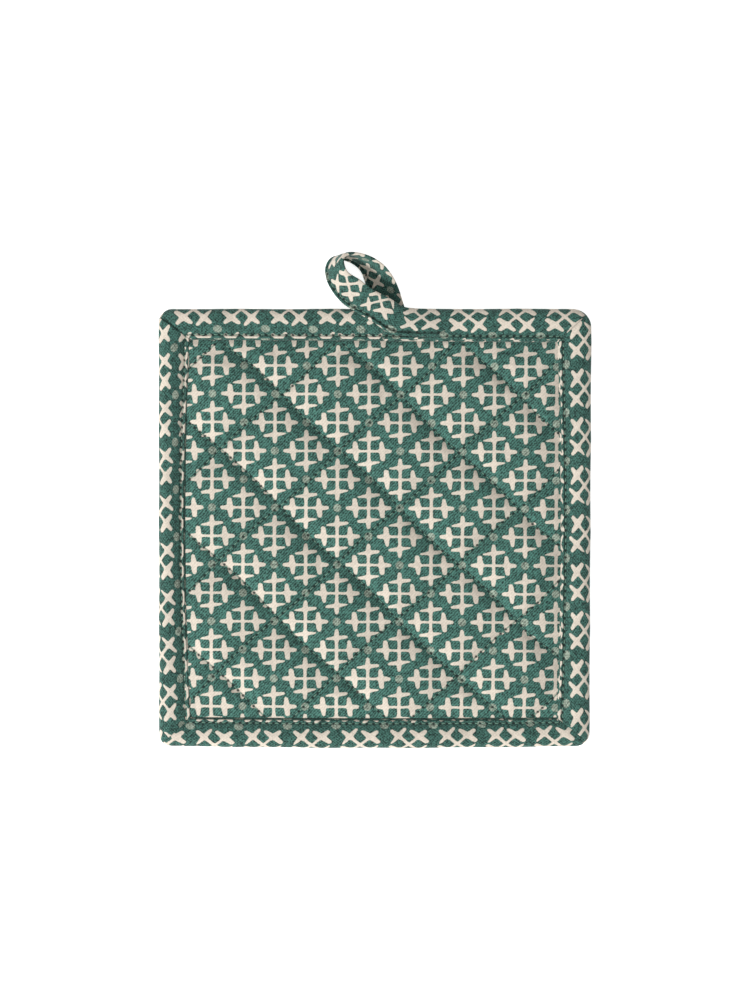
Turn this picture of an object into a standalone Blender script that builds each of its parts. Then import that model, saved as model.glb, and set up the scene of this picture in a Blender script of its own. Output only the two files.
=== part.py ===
"""Quilted pot holder with a bound edge and a hanging loop, lying flat on its back.

Metres, +Z up. The loop is at +Y, the front faces +Z, and the origin is the middle of the
underside of the whole outline.
"""
import math
from collections import namedtuple

import bmesh
import bpy
from mathutils import Vector

MM = 0.001
PIECES_NAME = "pot_holder"

# Quilted panel, in millimetres: its hidden outer edge, and the edge that the binding leaves open
PANEL_LEFT, PANEL_RIGHT = -96.8, 95.9
PANEL_BOTTOM, PANEL_TOP = -111.2, 84.8
OPEN_LEFT, OPEN_RIGHT = -85.8, 84.3
OPEN_BOTTOM, OPEN_TOP = -100.9, 72.8
PANEL_CORNER_CUT = 3.0
PRESSED_LOW, PRESSED_HIGH = 1.6, 4.2

# Quilting: diamonds between two sets of slanting lines that cross at QUILT_X, QUILT_Y
QUILT_X, QUILT_Y = -16.6, 21.9
QUILT_HALF_WIDTH, QUILT_HALF_LENGTH = 27.55, 25.7
QUILT_STEPS = 5
QUILT_TURN = math.radians(-0.9)
QUILT_WANDER = 0.5
QUILT_WANDER_LENGTH = 46.0
CROWN = 3.9
CROWN_POWER = 3.0
CROWN_UNEVENNESS = 0.09
BACK_FULLNESS = 2.4
EDGE_DRAW_IN = 13.0
WARP_FADE = 15.0
LEAST_COLUMN = 2.6

# Binding: each corner's outer and inner point, with the outer radius, all in millimetres
Corner = namedtuple("Corner", "name outer_x outer_y radius inner_x inner_y")
CORNERS = (
    Corner("top right", 100.0, 87.9, 8.8, 85.1, 73.4),
    Corner("top left", -100.0, 87.8, 5.1, -86.4, 74.2),
    Corner("bottom left", -99.8, -114.2, 5.5, -86.6, -101.5),
    Corner("bottom right", 99.1, -114.3, 6.5, 84.8, -101.8),
)
INNER_RADIUS = 0.8
CORNER_STEPS = 4
STATION_STEP = 9.0
LEAST_STATION = 1.5
EDGE_WANDER = 0.22
TOP_WANDER = 0.18
MITRE_DIP = 0.55

# Binding's section: share of the width from the outer edge, height, and how much of it gives way
# to the loop's sewn end and how much of it sinks at a mitre
SectionPoint = namedtuple("SectionPoint", "name share height gives_way sinks")
BINDING_SECTION = (
    SectionPoint("back fold, low", 0.92, 0.0, 1.0, 0.0),
    SectionPoint("back, flat", 0.17, 0.0, 1.0, 0.0),
    SectionPoint("back, rounded", 0.06, 0.6, 1.0, 0.0),
    SectionPoint("edge, low", 0.01, 1.8, 0.6, 0.0),
    SectionPoint("edge, middle", 0.0, 3.0, 0.15, 0.0),
    SectionPoint("edge, high", 0.025, 4.3, 0.0, 0.3),
    SectionPoint("shoulder", 0.10, 5.4, 0.0, 0.7),
    SectionPoint("dome, outer", 0.25, 6.1, 0.0, 1.0),
    SectionPoint("dome, top", 0.50, 6.3, 0.0, 1.0),
    SectionPoint("dome, inner", 0.73, 6.0, 0.0, 1.0),
    SectionPoint("stitch groove", 0.86, 5.3, 0.0, 0.6),
    SectionPoint("fold ridge", 0.935, 5.6, 0.0, 0.6),
    SectionPoint("fold, high", 1.0, 5.2, 0.0, 0.4),
    SectionPoint("fold, low", 1.0, 4.5, 0.0, 0.0),
    SectionPoint("channel, high", 0.17, 4.5, 0.0, 0.0),
    SectionPoint("channel, top corner", 0.115, 4.0, 0.0, 0.0),
    SectionPoint("channel, middle", 0.10, 3.0, 0.0, 0.0),
    SectionPoint("channel, low corner", 0.115, 2.0, 0.5, 0.0),
    SectionPoint("channel, low", 0.17, 1.3, 1.0, 0.0),
    SectionPoint("back fold, high", 0.92, 1.3, 1.0, 0.0),
)

# Shallow place behind the top binding that the loop's sewn end lies in
TUCK_LEFT, TUCK_RIGHT = -1.4, 17.6
TUCK_RAMP = 3.0
TUCK_LIFT = 1.3
TUCK_FROM_Y = 60.0
PANEL_TUCK_LEFT, PANEL_TUCK_RIGHT = -5.7, 22.1
PANEL_TUCK_RAMP = 5.4

# Loop: a leaning band, a row for each section, from the front of the binding round to its back
LoopRow = namedtuple("LoopRow", "name seam_x seam_y seam_z free_x free_y free_z thickness")
LOOP_ROWS = (
    LoopRow("start on the binding", 7.2, 75.9, 7.5, 13.6, 88.5, 7.7, 1.3),
    LoopRow("across the binding", -2.1, 82.0, 7.7, 6.6, 92.2, 9.9, 1.5),
    LoopRow("over the outer edge", -10.6, 87.0, 7.3, -1.6, 96.4, 12.0, 1.6),
    LoopRow("clear of the binding", -15.6, 90.6, 6.6, -6.8, 100.4, 13.0, 1.6),
    LoopRow("near leg", -19.2, 95.0, 6.0, -11.2, 103.6, 13.6, 1.6),
    LoopRow("before the turn", -22.0, 100.4, 5.3, -13.6, 107.6, 13.7, 1.6),
    LoopRow("turn, outer side", -22.6, 106.0, 4.4, -13.6, 111.6, 13.3, 1.6),
    LoopRow("turn, middle", -20.6, 110.4, 3.1, -11.6, 113.4, 12.8, 1.6),
    LoopRow("turn, far side", -16.6, 111.8, 1.8, -7.9, 113.7, 12.5, 1.6),
    LoopRow("far leg, start", -12.4, 110.2, 1.0, -4.0, 112.7, 12.2, 1.6),
    LoopRow("far leg, upper", -9.0, 107.2, 0.9, -0.2, 110.6, 11.6, 1.6),
    LoopRow("far leg, middle", -6.6, 103.8, 0.9, 4.2, 107.2, 9.6, 1.6),
    LoopRow("far leg, lower", -5.0, 99.4, 0.9, 8.2, 102.6, 6.0, 1.5),
    LoopRow("before the binding", -2.8, 94.6, 0.8, 10.9, 97.2, 2.9, 1.3),
    LoopRow("at the outer edge", -0.4, 89.6, 0.55, 12.9, 91.2, 0.9, 1.0),
    LoopRow("behind the binding", 0.9, 83.4, 0.5, 14.8, 84.6, 0.5, 0.9),
    LoopRow("sewn end", 2.2, 78.2, 0.5, 16.0, 79.2, 0.5, 0.9),
)
LOOP_STEPS = 3

# Loop's section: share of the width from the seam edge, and height as a share of the thickness
LoopPoint = namedtuple("LoopPoint", "name share height")
LOOP_SECTION = (
    LoopPoint("seam edge", 0.0, 0.0),
    LoopPoint("seam ridge, out", 0.03, 0.42),
    LoopPoint("stitch groove, out", 0.11, 0.28),
    LoopPoint("face, seam side, out", 0.17, 0.5),
    LoopPoint("face, out", 0.55, 0.5),
    LoopPoint("face, free side, out", 0.94, 0.42),
    LoopPoint("free edge", 1.0, 0.0),
    LoopPoint("face, free side, in", 0.94, -0.42),
    LoopPoint("face, in", 0.55, -0.5),
    LoopPoint("face, seam side, in", 0.17, -0.5),
    LoopPoint("stitch groove, in", 0.11, -0.28),
    LoopPoint("seam ridge, in", 0.03, -0.42),
)

PRINTED_GREEN = (0.047, 0.165, 0.125)
BINDING_GREEN = (0.041, 0.150, 0.113)
LOOP_GREEN = (0.045, 0.158, 0.120)
COTTON_ROUGHNESS = 0.88


def clear_scene():
    """Remove every object that the file opened with."""
    for item in list(bpy.data.objects):
        bpy.data.objects.remove(item, do_unlink=True)


def new_collection(name):
    collection = bpy.data.collections.new(name)
    bpy.context.scene.collection.children.link(collection)
    return collection


def cotton(name, colour):
    """Plain matt cotton in one colour."""
    material = bpy.data.materials.new(name)
    material.use_nodes = True
    shader = material.node_tree.nodes["Principled BSDF"]
    shader.inputs["Base Color"].default_value = (*colour, 1.0)
    shader.inputs["Roughness"].default_value = COTTON_ROUGHNESS
    shader.inputs["Metallic"].default_value = 0.0
    return material


def finish_piece(bm, name, material, collection):
    """Turn the built faces outwards, shade them smooth and link the object."""
    bmesh.ops.recalc_face_normals(bm, faces=bm.faces[:])
    mesh = bpy.data.meshes.new(name)
    bm.to_mesh(mesh)
    bm.free()
    mesh.materials.append(material)
    mesh.shade_smooth()
    mesh.set_sharp_from_angle(angle=math.radians(50))
    piece = bpy.data.objects.new(name, mesh)
    collection.objects.link(piece)
    return piece


def ramp(value, start, end):
    """0 at start, 1 at end, smooth between; start may be the larger one."""
    t = min(1.0, max(0.0, (value - start) / (end - start)))
    return t * t * (3.0 - 2.0 * t)


def straight_ramp(value, start, end):
    return min(1.0, max(0.0, (value - start) / (end - start)))


# Quilted panel

def grid_lines(outer_low, open_low, open_high, outer_high, origin, step):
    """Places of the grid's lines: the two edges on each side, and lines in step with the quilting."""
    first = math.ceil((open_low + LEAST_COLUMN - origin) / step)
    last = math.floor((open_high - LEAST_COLUMN - origin) / step)
    inner = [origin + step * index for index in range(first, last + 1)]
    return [outer_low, open_low] + inner + [open_high, outer_high]


def quilt_cell(x, y):
    """Place of a point in the slanting grid of seams, whole numbers on the seams."""
    across = (x - QUILT_X) / QUILT_HALF_WIDTH
    along = (y - QUILT_Y) / QUILT_HALF_LENGTH
    return (across + along) / 2.0, (across - along) / 2.0


def puff(x, y):
    """Share of the crown, 0 on a seam and about 1 in the middle of a diamond."""
    rise, fall = quilt_cell(x, y)
    height = 1.0
    for place in (rise, fall):
        within = place - math.floor(place)
        height *= 1.0 - abs(2.0 * within - 1.0) ** CROWN_POWER
    uneven = math.sin(2.1 * math.floor(rise) + 3.7 * math.floor(fall))
    return height * (1.0 - CROWN_UNEVENNESS + CROWN_UNEVENNESS * uneven)


def inset(x, y):
    """Distance in from the nearest open edge, negative under the binding."""
    return min(x - OPEN_LEFT, OPEN_RIGHT - x, y - OPEN_BOTTOM, OPEN_TOP - y)


def wandered(x, y):
    """The quilting's slight turn and wander, which fade out at the binding."""
    share = ramp(inset(x, y), 0.0, WARP_FADE)
    middle_x = (OPEN_LEFT + OPEN_RIGHT) / 2.0
    middle_y = (OPEN_BOTTOM + OPEN_TOP) / 2.0
    wave = 2.0 * math.pi / QUILT_WANDER_LENGTH
    shift_x = -(y - middle_y) * QUILT_TURN + QUILT_WANDER * math.sin(wave * y + 0.7)
    shift_y = (x - middle_x) * QUILT_TURN + QUILT_WANDER * math.sin(wave * x * 0.8 + 2.0)
    return x + share * shift_x, y + share * shift_y


def panel_heights(x, y):
    """Low and high side of the panel at a point of the unturned quilting."""
    share = puff(x, y) * ramp(inset(x, y), 0.0, EDGE_DRAW_IN)
    low = PRESSED_LOW * max(0.0, 1.0 - BACK_FULLNESS * share)
    if y >= OPEN_TOP:
        left = straight_ramp(x, PANEL_TUCK_LEFT - PANEL_TUCK_RAMP, PANEL_TUCK_LEFT)
        right = straight_ramp(x, PANEL_TUCK_RIGHT + PANEL_TUCK_RAMP, PANEL_TUCK_RIGHT)
        low += TUCK_LIFT * min(left, right)
    return low, PRESSED_HIGH + CROWN * share


def cut_corner(x, y):
    """Draw the panel's four outer corners in, clear of the binding's rounded ones."""
    if x in (PANEL_LEFT, PANEL_RIGHT) and y in (PANEL_BOTTOM, PANEL_TOP):
        x += PANEL_CORNER_CUT if x == PANEL_LEFT else -PANEL_CORNER_CUT
        y += PANEL_CORNER_CUT if y == PANEL_BOTTOM else -PANEL_CORNER_CUT
    return x, y


def seam_diagonal(x, y):
    """True where the nearest seam falls towards +X, so that a face is split along it."""
    rise, fall = quilt_cell(x, y)
    return abs(rise - round(rise)) < abs(fall - round(fall))


def split_along_seams(bm, places):
    """Split each face of the front and back into triangles whose edges follow the seams."""
    for face in list(bm.faces):
        corners = {places[vert]: vert for vert in face.verts}
        if len(corners) < 4:
            continue
        xs = sorted({place[0] for place in corners})
        ys = sorted({place[1] for place in corners})
        middle = (sum(xs) / 2.0, sum(ys) / 2.0)
        if seam_diagonal(*middle):
            ends = corners[(xs[0], ys[1])], corners[(xs[1], ys[0])]
        else:
            ends = corners[(xs[0], ys[0])], corners[(xs[1], ys[1])]
        bmesh.utils.face_split(face, *ends)


def build_panel(material, collection):
    columns = grid_lines(PANEL_LEFT, OPEN_LEFT, OPEN_RIGHT, PANEL_RIGHT,
                         QUILT_X, QUILT_HALF_WIDTH / QUILT_STEPS)
    rows = grid_lines(PANEL_BOTTOM, OPEN_BOTTOM, OPEN_TOP, PANEL_TOP,
                      QUILT_Y, QUILT_HALF_LENGTH / QUILT_STEPS)
    bm = bmesh.new()
    bmesh.ops.create_grid(bm, x_segments=len(columns) - 1, y_segments=len(rows) - 1, size=1.0)
    front = bmesh.ops.extrude_face_region(bm, geom=bm.faces[:])["geom"]
    front_verts = {item for item in front if isinstance(item, bmesh.types.BMVert)}
    places = {}
    for vert in bm.verts:
        column = round((vert.co.x + 1.0) / 2.0 * (len(columns) - 1))
        row = round((vert.co.y + 1.0) / 2.0 * (len(rows) - 1))
        places[vert] = columns[column], rows[row]
    for vert, (x, y) in places.items():
        low, high = panel_heights(x, y)
        height = high if vert in front_verts else low
        new_x, new_y = cut_corner(*wandered(x, y))
        vert.co = Vector((new_x, new_y, height)) * MM
    split_along_seams(bm, places)
    return finish_piece(bm, "quilted_panel", material, collection)


# Lofts

def loft(bm, sections, ring):
    """Skin closed sections; ring joins the last one to the first, else both ends are capped."""
    loops = [[bm.verts.new(point) for point in section] for section in sections]
    count = len(loops[0])
    pairs = list(zip(loops, loops[1:]))
    if ring:
        pairs.append((loops[-1], loops[0]))
    for first, second in pairs:
        for index in range(count):
            after = (index + 1) % count
            bm.faces.new((first[index], first[after], second[after], second[index]))
    if not ring:
        bm.faces.new(loops[0])
        bm.faces.new(loops[-1])


# Binding

def corner_arc(x, y, radius, start_angle):
    """Points round one corner of the outline, from its first side to its second."""
    middle_angle = start_angle + math.pi / 4.0
    centre_x = x - radius * math.copysign(1.0, math.cos(middle_angle))
    centre_y = y - radius * math.copysign(1.0, math.sin(middle_angle))
    points = []
    for step in range(CORNER_STEPS + 1):
        angle = start_angle + math.pi / 2.0 * step / CORNER_STEPS
        points.append((centre_x + radius * math.cos(angle), centre_y + radius * math.sin(angle)))
    return points


def between(first, second, share):
    return tuple(a + (b - a) * share for a, b in zip(first, second))


def side_shares(start, end):
    """Shares of a side at which its sections stand; the top side has one at each tuck corner."""
    count = round(math.dist(start, end) / STATION_STEP)
    shares = [step / count for step in range(1, count)]
    if min(start[1], end[1]) > TUCK_FROM_Y:
        corners = (TUCK_LEFT - TUCK_RAMP, TUCK_LEFT, TUCK_RIGHT, TUCK_RIGHT + TUCK_RAMP)
        marks = [(x - start[0]) / (end[0] - start[0]) for x in corners]
        apart = LEAST_STATION / math.dist(start, end)
        shares = [share for share in shares if min(abs(share - mark) for mark in marks) > apart]
        shares = sorted(shares + marks)
    return shares


def binding_stations():
    """Outer point, inner point and mitre share of each section, round the whole edge."""
    stations = []
    for index, corner in enumerate(CORNERS):
        after = CORNERS[(index + 1) % len(CORNERS)]
        angle = math.pi / 2.0 * index
        outer = corner_arc(corner.outer_x, corner.outer_y, corner.radius, angle)
        inner = corner_arc(corner.inner_x, corner.inner_y, INNER_RADIUS, angle)
        for step, (out_point, in_point) in enumerate(zip(outer, inner)):
            stations.append((out_point, in_point, 1.0 if step == CORNER_STEPS // 2 else 0.0))
        next_angle = angle + math.pi / 2.0
        outer_end = corner_arc(after.outer_x, after.outer_y, after.radius, next_angle)[0]
        inner_end = corner_arc(after.inner_x, after.inner_y, INNER_RADIUS, next_angle)[0]
        for share in side_shares(outer[-1], outer_end):
            stations.append((between(outer[-1], outer_end, share),
                             between(inner[-1], inner_end, share), 0.0))
    return stations


def tuck_share(x, y):
    """1 where the binding gives way to the loop's sewn end."""
    if y < TUCK_FROM_Y:
        return 0.0
    left = straight_ramp(x, TUCK_LEFT - TUCK_RAMP, TUCK_LEFT)
    right = straight_ramp(x, TUCK_RIGHT + TUCK_RAMP, TUCK_RIGHT)
    return min(left, right)


def build_binding(material, collection):
    stations = binding_stations()
    sections = []
    for number, (outer, inner, mitre) in enumerate(stations):
        turn = 2.0 * math.pi * number / len(stations)
        edge_shift = EDGE_WANDER * math.sin(9.0 * turn + 1.0)
        top_shift = TOP_WANDER * math.sin(23.0 * turn)
        width = math.dist(outer, inner)
        section = []
        for point in BINDING_SECTION:
            inward = edge_shift / width * (1.0 - point.share)
            x, y = between(outer, inner, point.share + abs(inward))
            height = point.height + TUCK_LIFT * point.gives_way * tuck_share(x, y)
            height += (top_shift - MITRE_DIP * mitre) * point.sinks
            section.append(Vector((x, y, height)) * MM)
        sections.append(section)
    bm = bmesh.new()
    loft(bm, sections, ring=True)
    return finish_piece(bm, "binding", material, collection)


# Hanging loop

def smooth_value(before, start, end, after, t):
    """Value on the smooth curve through four neighbours, t from 0 at start to 1 at end."""
    slope = (end - before) / 2.0
    end_slope = (after - start) / 2.0
    rise = end - start
    curve = 3.0 * rise - 2.0 * slope - end_slope
    bend = slope + end_slope - 2.0 * rise
    return start + t * (slope + t * (curve + t * bend))


def loop_stations():
    """Seam edge, free edge and thickness of each section, LOOP_STEPS for each row."""
    values = [row[1:] for row in LOOP_ROWS]
    values = [values[0]] + values + [values[-1]]
    stations = []
    for index in range(1, len(values) - 2):
        for step in range(LOOP_STEPS):
            four = zip(*values[index - 1:index + 3])
            stations.append([smooth_value(*group, step / LOOP_STEPS) for group in four])
    stations.append(list(values[-1]))
    return [(Vector(s[0:3]), Vector(s[3:6]), s[6]) for s in stations]


def build_loop(material, collection):
    stations = loop_stations()
    middles = [(seam + free) / 2.0 for seam, free, _ in stations]
    sections = []
    for index, (seam, free, thickness) in enumerate(stations):
        before = middles[max(index - 1, 0)]
        after = middles[min(index + 1, len(middles) - 1)]
        outward = (free - seam).cross(after - before).normalized()
        section = []
        for point in LOOP_SECTION:
            place = seam.lerp(free, point.share) + outward * thickness * point.height
            section.append(place * MM)
        sections.append(section)
    bm = bmesh.new()
    loft(bm, sections, ring=False)
    return finish_piece(bm, "hanging_loop", material, collection)


def main():
    clear_scene()
    pieces = new_collection(PIECES_NAME)
    build_panel(cotton("printed_cotton", PRINTED_GREEN), pieces)
    build_binding(cotton("bias_binding", BINDING_GREEN), pieces)
    build_loop(cotton("loop_binding", LOOP_GREEN), pieces)


main()
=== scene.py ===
"""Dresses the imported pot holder: quilted printed cotton, bias binding, hanging loop and stitching.

Lengths in the tables are in millimetres, +Z up. The front faces +Z and the loop is at +Y.
"""
import math
from collections import namedtuple

import bmesh
import bpy
import numpy as np
from bpy.props import FloatProperty, FloatVectorProperty, PointerProperty
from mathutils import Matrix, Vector


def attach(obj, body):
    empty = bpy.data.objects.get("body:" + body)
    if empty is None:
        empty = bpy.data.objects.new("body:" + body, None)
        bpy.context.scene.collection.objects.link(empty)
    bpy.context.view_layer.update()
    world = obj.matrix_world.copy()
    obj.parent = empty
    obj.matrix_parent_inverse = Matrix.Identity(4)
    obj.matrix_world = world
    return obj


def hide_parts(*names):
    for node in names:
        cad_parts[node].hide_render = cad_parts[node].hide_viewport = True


bl_info = {
    "name": "Pot holder dressing",
    "version": (1, 0, 0),
    "blender": (4, 5, 0),
    "location": "3D View > Sidebar > Pot holder",
    "description": "Builds the quilted cloth, binding, loop and stitching of a pot holder",
    "category": "Object",
}

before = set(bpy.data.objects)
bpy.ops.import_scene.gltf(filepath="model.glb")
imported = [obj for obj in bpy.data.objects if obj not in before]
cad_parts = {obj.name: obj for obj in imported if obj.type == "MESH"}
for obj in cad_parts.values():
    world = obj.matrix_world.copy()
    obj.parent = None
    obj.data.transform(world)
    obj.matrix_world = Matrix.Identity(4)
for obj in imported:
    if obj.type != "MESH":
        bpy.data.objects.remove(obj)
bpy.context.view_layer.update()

MM = 0.001
BODY = "root"

# Quilted panel: hidden outer edge, open edge, pressed heights, and the quilting's lattice
PANEL_LEFT, PANEL_RIGHT = -96.8, 95.9
PANEL_BOTTOM, PANEL_TOP = -111.2, 84.8
OPEN_LEFT, OPEN_RIGHT = -87.6, 85.8
OPEN_BOTTOM, OPEN_TOP = -100.9, 72.8
PANEL_CORNER_CUT = 3.0
PRESSED_LOW, PRESSED_HIGH, HIDDEN_HIGH = 1.6, 4.2, 3.1
QUILT_X, QUILT_Y = -16.6, 21.9
QUILT_HALF_WIDTH, QUILT_HALF_LENGTH = 27.55, 25.7
QUILT_TURN = math.radians(-0.9)
QUILT_WANDER = 0.5
QUILT_WANDER_LENGTH = 46.0
CROWN_POWER = 4.5
CROWN_UNEVENNESS = 0.09
BACK_FULLNESS = 2.4
EDGE_DRAW_IN = 13.0
EDGE_CREASE, EDGE_CREASE_WIDTH, EDGE_CREASE_OUT = 1.0, 1.2, 0.7
WARP_FADE = 15.0

# Where the backs give way to the loop's sewn end: left, right, and length of the slope
PANEL_TUCK = (-5.7, 22.1, 5.4)
BINDING_TUCK = (-1.4, 17.6, 3.0)
TUCK_LIFT = 1.3
TUCK_FROM_Y = 60.0

# The panel's grid, and the cloth simulation that swells it, at a larger scale, where it is steadier
COARSE_STEPS = 13
FINE_DIVISIONS = 2
SWELL_SCALE = 10.0
SWELL_FRAMES = 20
SWELL_CAP = 1.6
SWELL_SETTINGS = {
    "quality": 5, "mass": 0.15, "tension_stiffness": 12.0, "compression_stiffness": 12.0,
    "shear_stiffness": 4.0, "bending_stiffness": 0.15, "tension_damping": 10.0,
    "compression_damping": 10.0, "vertex_group_mass": "sewn", "use_pressure": True,
    "uniform_pressure_force": 3.0, "shrink_min": -0.03,
}
HELD_AT_SEAM = 0.2 / COARSE_STEPS
HELD_AT_EDGE = 0.5
FULLNESS_BEFORE = 0.8
SWOLLEN_FROM_SEAM = (1.2, 5.5)
SWOLLEN_FROM_EDGE = (0.5, 3.0)
SWOLLEN_SHARE = 0.4

# The quilting's seams: a valley with needle holes, and puckers beside it
SEAM_DEPTH = 0.45
SEAM_HALF_WIDTH = 0.9
HOLE_DEPTH = 0.12
BACK_SEAM_SHARE = 0.6
PUCKER_HEIGHT, PUCKER_FROM_SEAM, PUCKER_WIDTH = 0.05, 2.4, 1.3
PUCKER_STITCHES, PUCKER_DRIFT, PUCKER_DRIFT_STITCHES = 1.5, 1.3, 2.3
STITCHES_A_SIDE = 12
SEWN_FROM_EDGE = (-0.5, 2.0)
STITCHED_INSIDE = 0.4
HIDDEN_BEYOND = -0.6
LEAST_THICKNESS = 0.8

# Binding: corners with their outer and inner point, and the share of the turn at which the mitre
# lies. The bows are how far each side's edges bulge: top, left, bottom, right.
Corner = namedtuple("Corner", "name outer_x outer_y radius inner_x inner_y mitre")
CORNERS = (
    Corner("top right", 100.0, 87.9, 8.8, 84.9, 73.2, 0.55),
    Corner("top left", -100.0, 87.8, 6.3, -85.7, 74.2, 0.85),
    Corner("bottom left", -99.8, -114.2, 5.5, -85.2, -101.4, 0.59),
    Corner("bottom right", 99.1, -114.3, 6.5, 84.6, -101.6, 0.67),
)
INNER_RADIUS = 0.8
TURN_STEPS = 5
FRONT_ABOVE, BACK_BELOW = 4.3, 0.6
STITCH_SHARE = 0.88
INNER_BOW = (0.0, 2.8, 0.6, 1.6)
OUTER_BOW = (0.0, 0.0, 0.9, 0.0)
EDGE_WANDER, EDGE_WAVES = 0.22, 9.0
TOP_WANDER, TOP_WAVES = 0.18, 23.0
UNEVEN_RISE, UNEVEN_LENGTHS = 0.16, (7.3, 11.9, 17.0)
STITCH_PITCH = 3.2
STATIONS_A_STITCH = 3
MITRE_LAP = 0.09
MITRE_RISE, MITRE_RISE_WIDTH = 0.35, 3.0
MITRE_SINK, MITRE_SINK_WIDTH = 0.55, 2.2
MITRE_LEAST_SHARE = 0.45
SECTION_SMOOTHING = 3
# The left strip's front slopes down towards its fold
LEFT_DROOP = 0.95
LEFT_DROOP_FROM, LEFT_DROOP_OVER, LEFT_DROOP_POWER = 0.30, 0.58, 1.8
LEFT_DROOP_RIDGE = (0.89, 0.95)
LEFT_DROOP_LOST = 0.85

# What the topstitching does to the binding's front: share of the width, spread, rise between the
# needle holes, and further rise at a hole
SEWN_FORMS = (
    (STITCH_SHARE, 0.04, -0.10, -0.25),
    (0.95, 0.035, 0.12, -0.16),
    (0.70, 0.10, 0.0, -0.12),
)

# Section of the binding, from its front fold round the outer edge to its back and along its inside.
# Share is the place between the outer edge, 0, and the fold, 1. A point gives way to the loop's
# sewn end, and sinks or rises with the strip's unevenness.
SectionPoint = namedtuple("SectionPoint", "name share height gives_way sinks")
BINDING_SECTION = tuple(SectionPoint(*row) for row in (
    ("fold, high", 1.0, 4.6, 0.0, 0.4),
    ("fold ridge", 0.95, 5.1, 0.0, 0.6),
    ("stitch groove", 0.88, 4.7, 0.0, 0.6),
    ("dome, inner", 0.74, 5.45, 0.0, 1.0),
    ("dome, top", 0.48, 6.25, 0.0, 1.0),
    ("dome, outer", 0.25, 6.2, 0.0, 1.0),
    ("shoulder", 0.10, 5.4, 0.0, 0.7),
    ("edge, high", 0.025, 4.3, 0.0, 0.3),
    ("edge, middle", 0.0, 3.0, 0.15, 0.0),
    ("edge, low", 0.01, 1.8, 0.6, 0.0),
    ("back, rounded", 0.06, 0.6, 1.0, 0.0),
    ("back, flat", 0.17, 0.0, 1.0, 0.0),
    ("back, middle", 0.50, 0.0, 1.0, 0.0),
    ("back groove", 0.86, 0.15, 1.0, 0.0),
    ("back fold, low", 0.95, 0.0, 1.0, 0.0),
    ("back fold, high", 0.96, 1.3, 1.0, 0.0),
    ("channel, low", 0.17, 1.3, 1.0, 0.0),
    ("channel, low corner", 0.115, 2.0, 0.5, 0.0),
    ("channel, middle", 0.10, 2.6, 0.0, 0.0),
    ("channel, top corner", 0.115, 3.1, 0.0, 0.0),
    ("channel, high", 0.17, 3.3, 0.0, 0.0),
    ("fold, low", 1.0, 3.3, 0.0, 0.0),
))
GROOVE_POINT, BACK_GROOVE_POINT = 2, 13

# Print: half-drop repeat of crosses, and where a row of them lies on each run of the binding.
# A run goes with the binding, and its insets are from the outer edge.
PRINT_HALF_X, PRINT_HALF_Y = 14.42, 13.09
PANEL_PRINT_X, PANEL_PRINT_Y = -2.95, -4.24
PANEL_PRINT_TURN = math.radians(-0.3)
BIAS_PERIOD_ACROSS = 16.8
LOOP_PERIOD = 18.2

PrintRun = namedtuple("PrintRun", "name start start_inset end end_inset crosses period_across")
PRINT_RUNS = (
    PrintRun("top, right of the loop", 87.41, 4.1, 20.87, 4.3, 3, 17.6),
    PrintRun("top, left of the loop", -17.5, 0.9, -83.5, 0.6, 3, 18.8),
    PrintRun("left", 58.8, 0.12, -93.6, 1.85, 7, 16.8),
    PrintRun("bottom", -96.3, 1.0, 82.65, 2.5, 8, 18.0),
    PrintRun("right", -83.1, 3.1, 73.1, 3.1, 7, 17.0),
)
RUN_CHANGE_X = 4.0

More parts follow.
